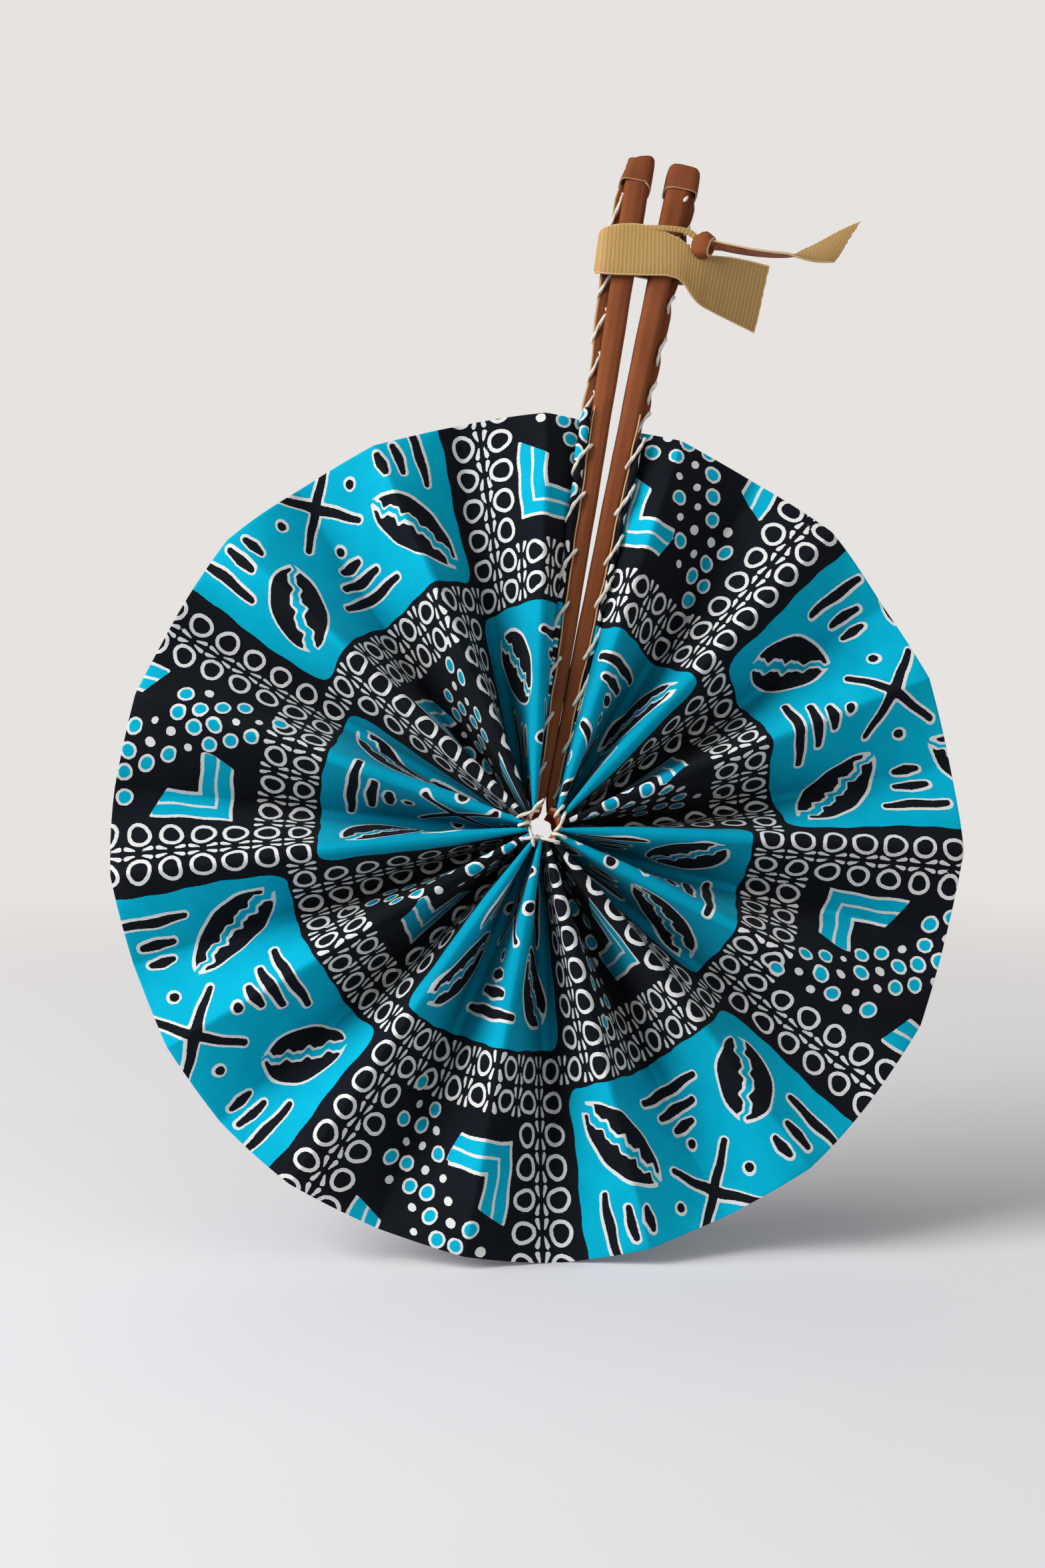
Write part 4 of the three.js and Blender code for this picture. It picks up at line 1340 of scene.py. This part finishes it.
# %% The upper strand and the narrow tail
strand = ribbon(
    "strap_strand",
    [[-4.5, -7.6, 223.7], [0.4, -8.8, 224.0], [4.8, -9.4, 224.5], [9.2, -9.6, 225.0],
     [14.4, -9.6, 225.0], [16.9, -9.4, 223.5], [19.0, -9.2, 221.6]],
    [[-4.2, -7.0, 222.2], [0.7, -8.2, 222.5], [4.6, -8.8, 222.6], [9.1, -9.0, 223.1],
     [13.3, -9.0, 223.0], [16.2, -8.8, 221.5], [18.4, -8.6, 219.8]],
    1.1, passes=16, columns=10)[0]
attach(strand, "tie_strap")
tail, flat, area = ribbon(
    "strap_narrow_tail",
    [[20.5, -7.5, 219.6], [22.5, -6.0, 220.2], [26.5, -5.0, 221.4], [31.0, -4.0, 221.7],
     [35.6, -3.4, 222.1], [40.2, -2.8, 222.7], [45.9, -2.2, 223.7], [51.8, -1.6, 225.2],
     [54.5, -1.4, 226.4], [56.7, -1.6, 228.9], [60.0, -2.2, 230.9], [63.9, -3.0, 234.1],
     [67.9, -3.6, 237.4], [71.9, -4.2, 240.4], [75.6, -4.6, 242.8]],
    [[20.5, -11.0, 220.4], [22.3, -12.0, 221.4], [25.5, -12.0, 221.2], [30.0, -11.8, 221.2],
     [34.6, -11.4, 221.3], [39.2, -11.0, 221.5], [44.9, -10.4, 222.1], [50.6, -9.6, 223.0],
     [53.6, -9.0, 222.9], [56.1, -8.4, 222.6], [58.8, -7.8, 222.7], [62.0, -7.0, 223.1],
     [64.3, -6.6, 223.6], [66.6, -6.2, 224.2], [68.8, -5.8, 225.0]],
    1.1, passes=16, ragged=0.7, columns=26)
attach(tail, "tie_strap")


# %% The knot
def rolled_knot():
    """Barrel turned about the line of the tail: from its closed end over its belly to a cut rim, and
    back inside. Each station is [place along the line, radius]."""
    stations = np.array([[-4.6, 0.8], [-4.4, 2.2], [-3.6, 3.6], [-2.2, 4.6], [-0.5, 5.0], [1.2, 4.7],
                         [2.4, 4.1], [3.0, 3.7], [3.2, 3.2], [2.9, 2.7], [1.5, 2.4], [-0.5, 1.2]])
    turn = np.linspace(0, 2 * np.pi, 37)[:-1]
    along, radius = stations[:, :1], stations[:, 1:]
    uneven = 1 + 0.05 * np.sin(2 * turn + along) + 0.03 * np.sin(5 * turn)
    line = np.array([0.88, -0.43, -0.2])
    deep = unit(np.cross(line, [0.0, 0.0, 1.0]))
    up = np.cross(deep, line)
    points = (np.array([20.2, -9.5, 219.8]) + along[..., None] * line
              + (radius * uneven * np.cos(turn))[..., None] * deep * 0.82
              + (radius * uneven * np.sin(turn))[..., None] * up)
    cut = np.zeros(uneven.shape)
    cut[7:9] = 1
    return put_tube("strap_knot", points, leather, {"cut": cut})


knot = rolled_knot()
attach(knot, "tie_strap")
print("knot faces", len(knot.data.polygons))
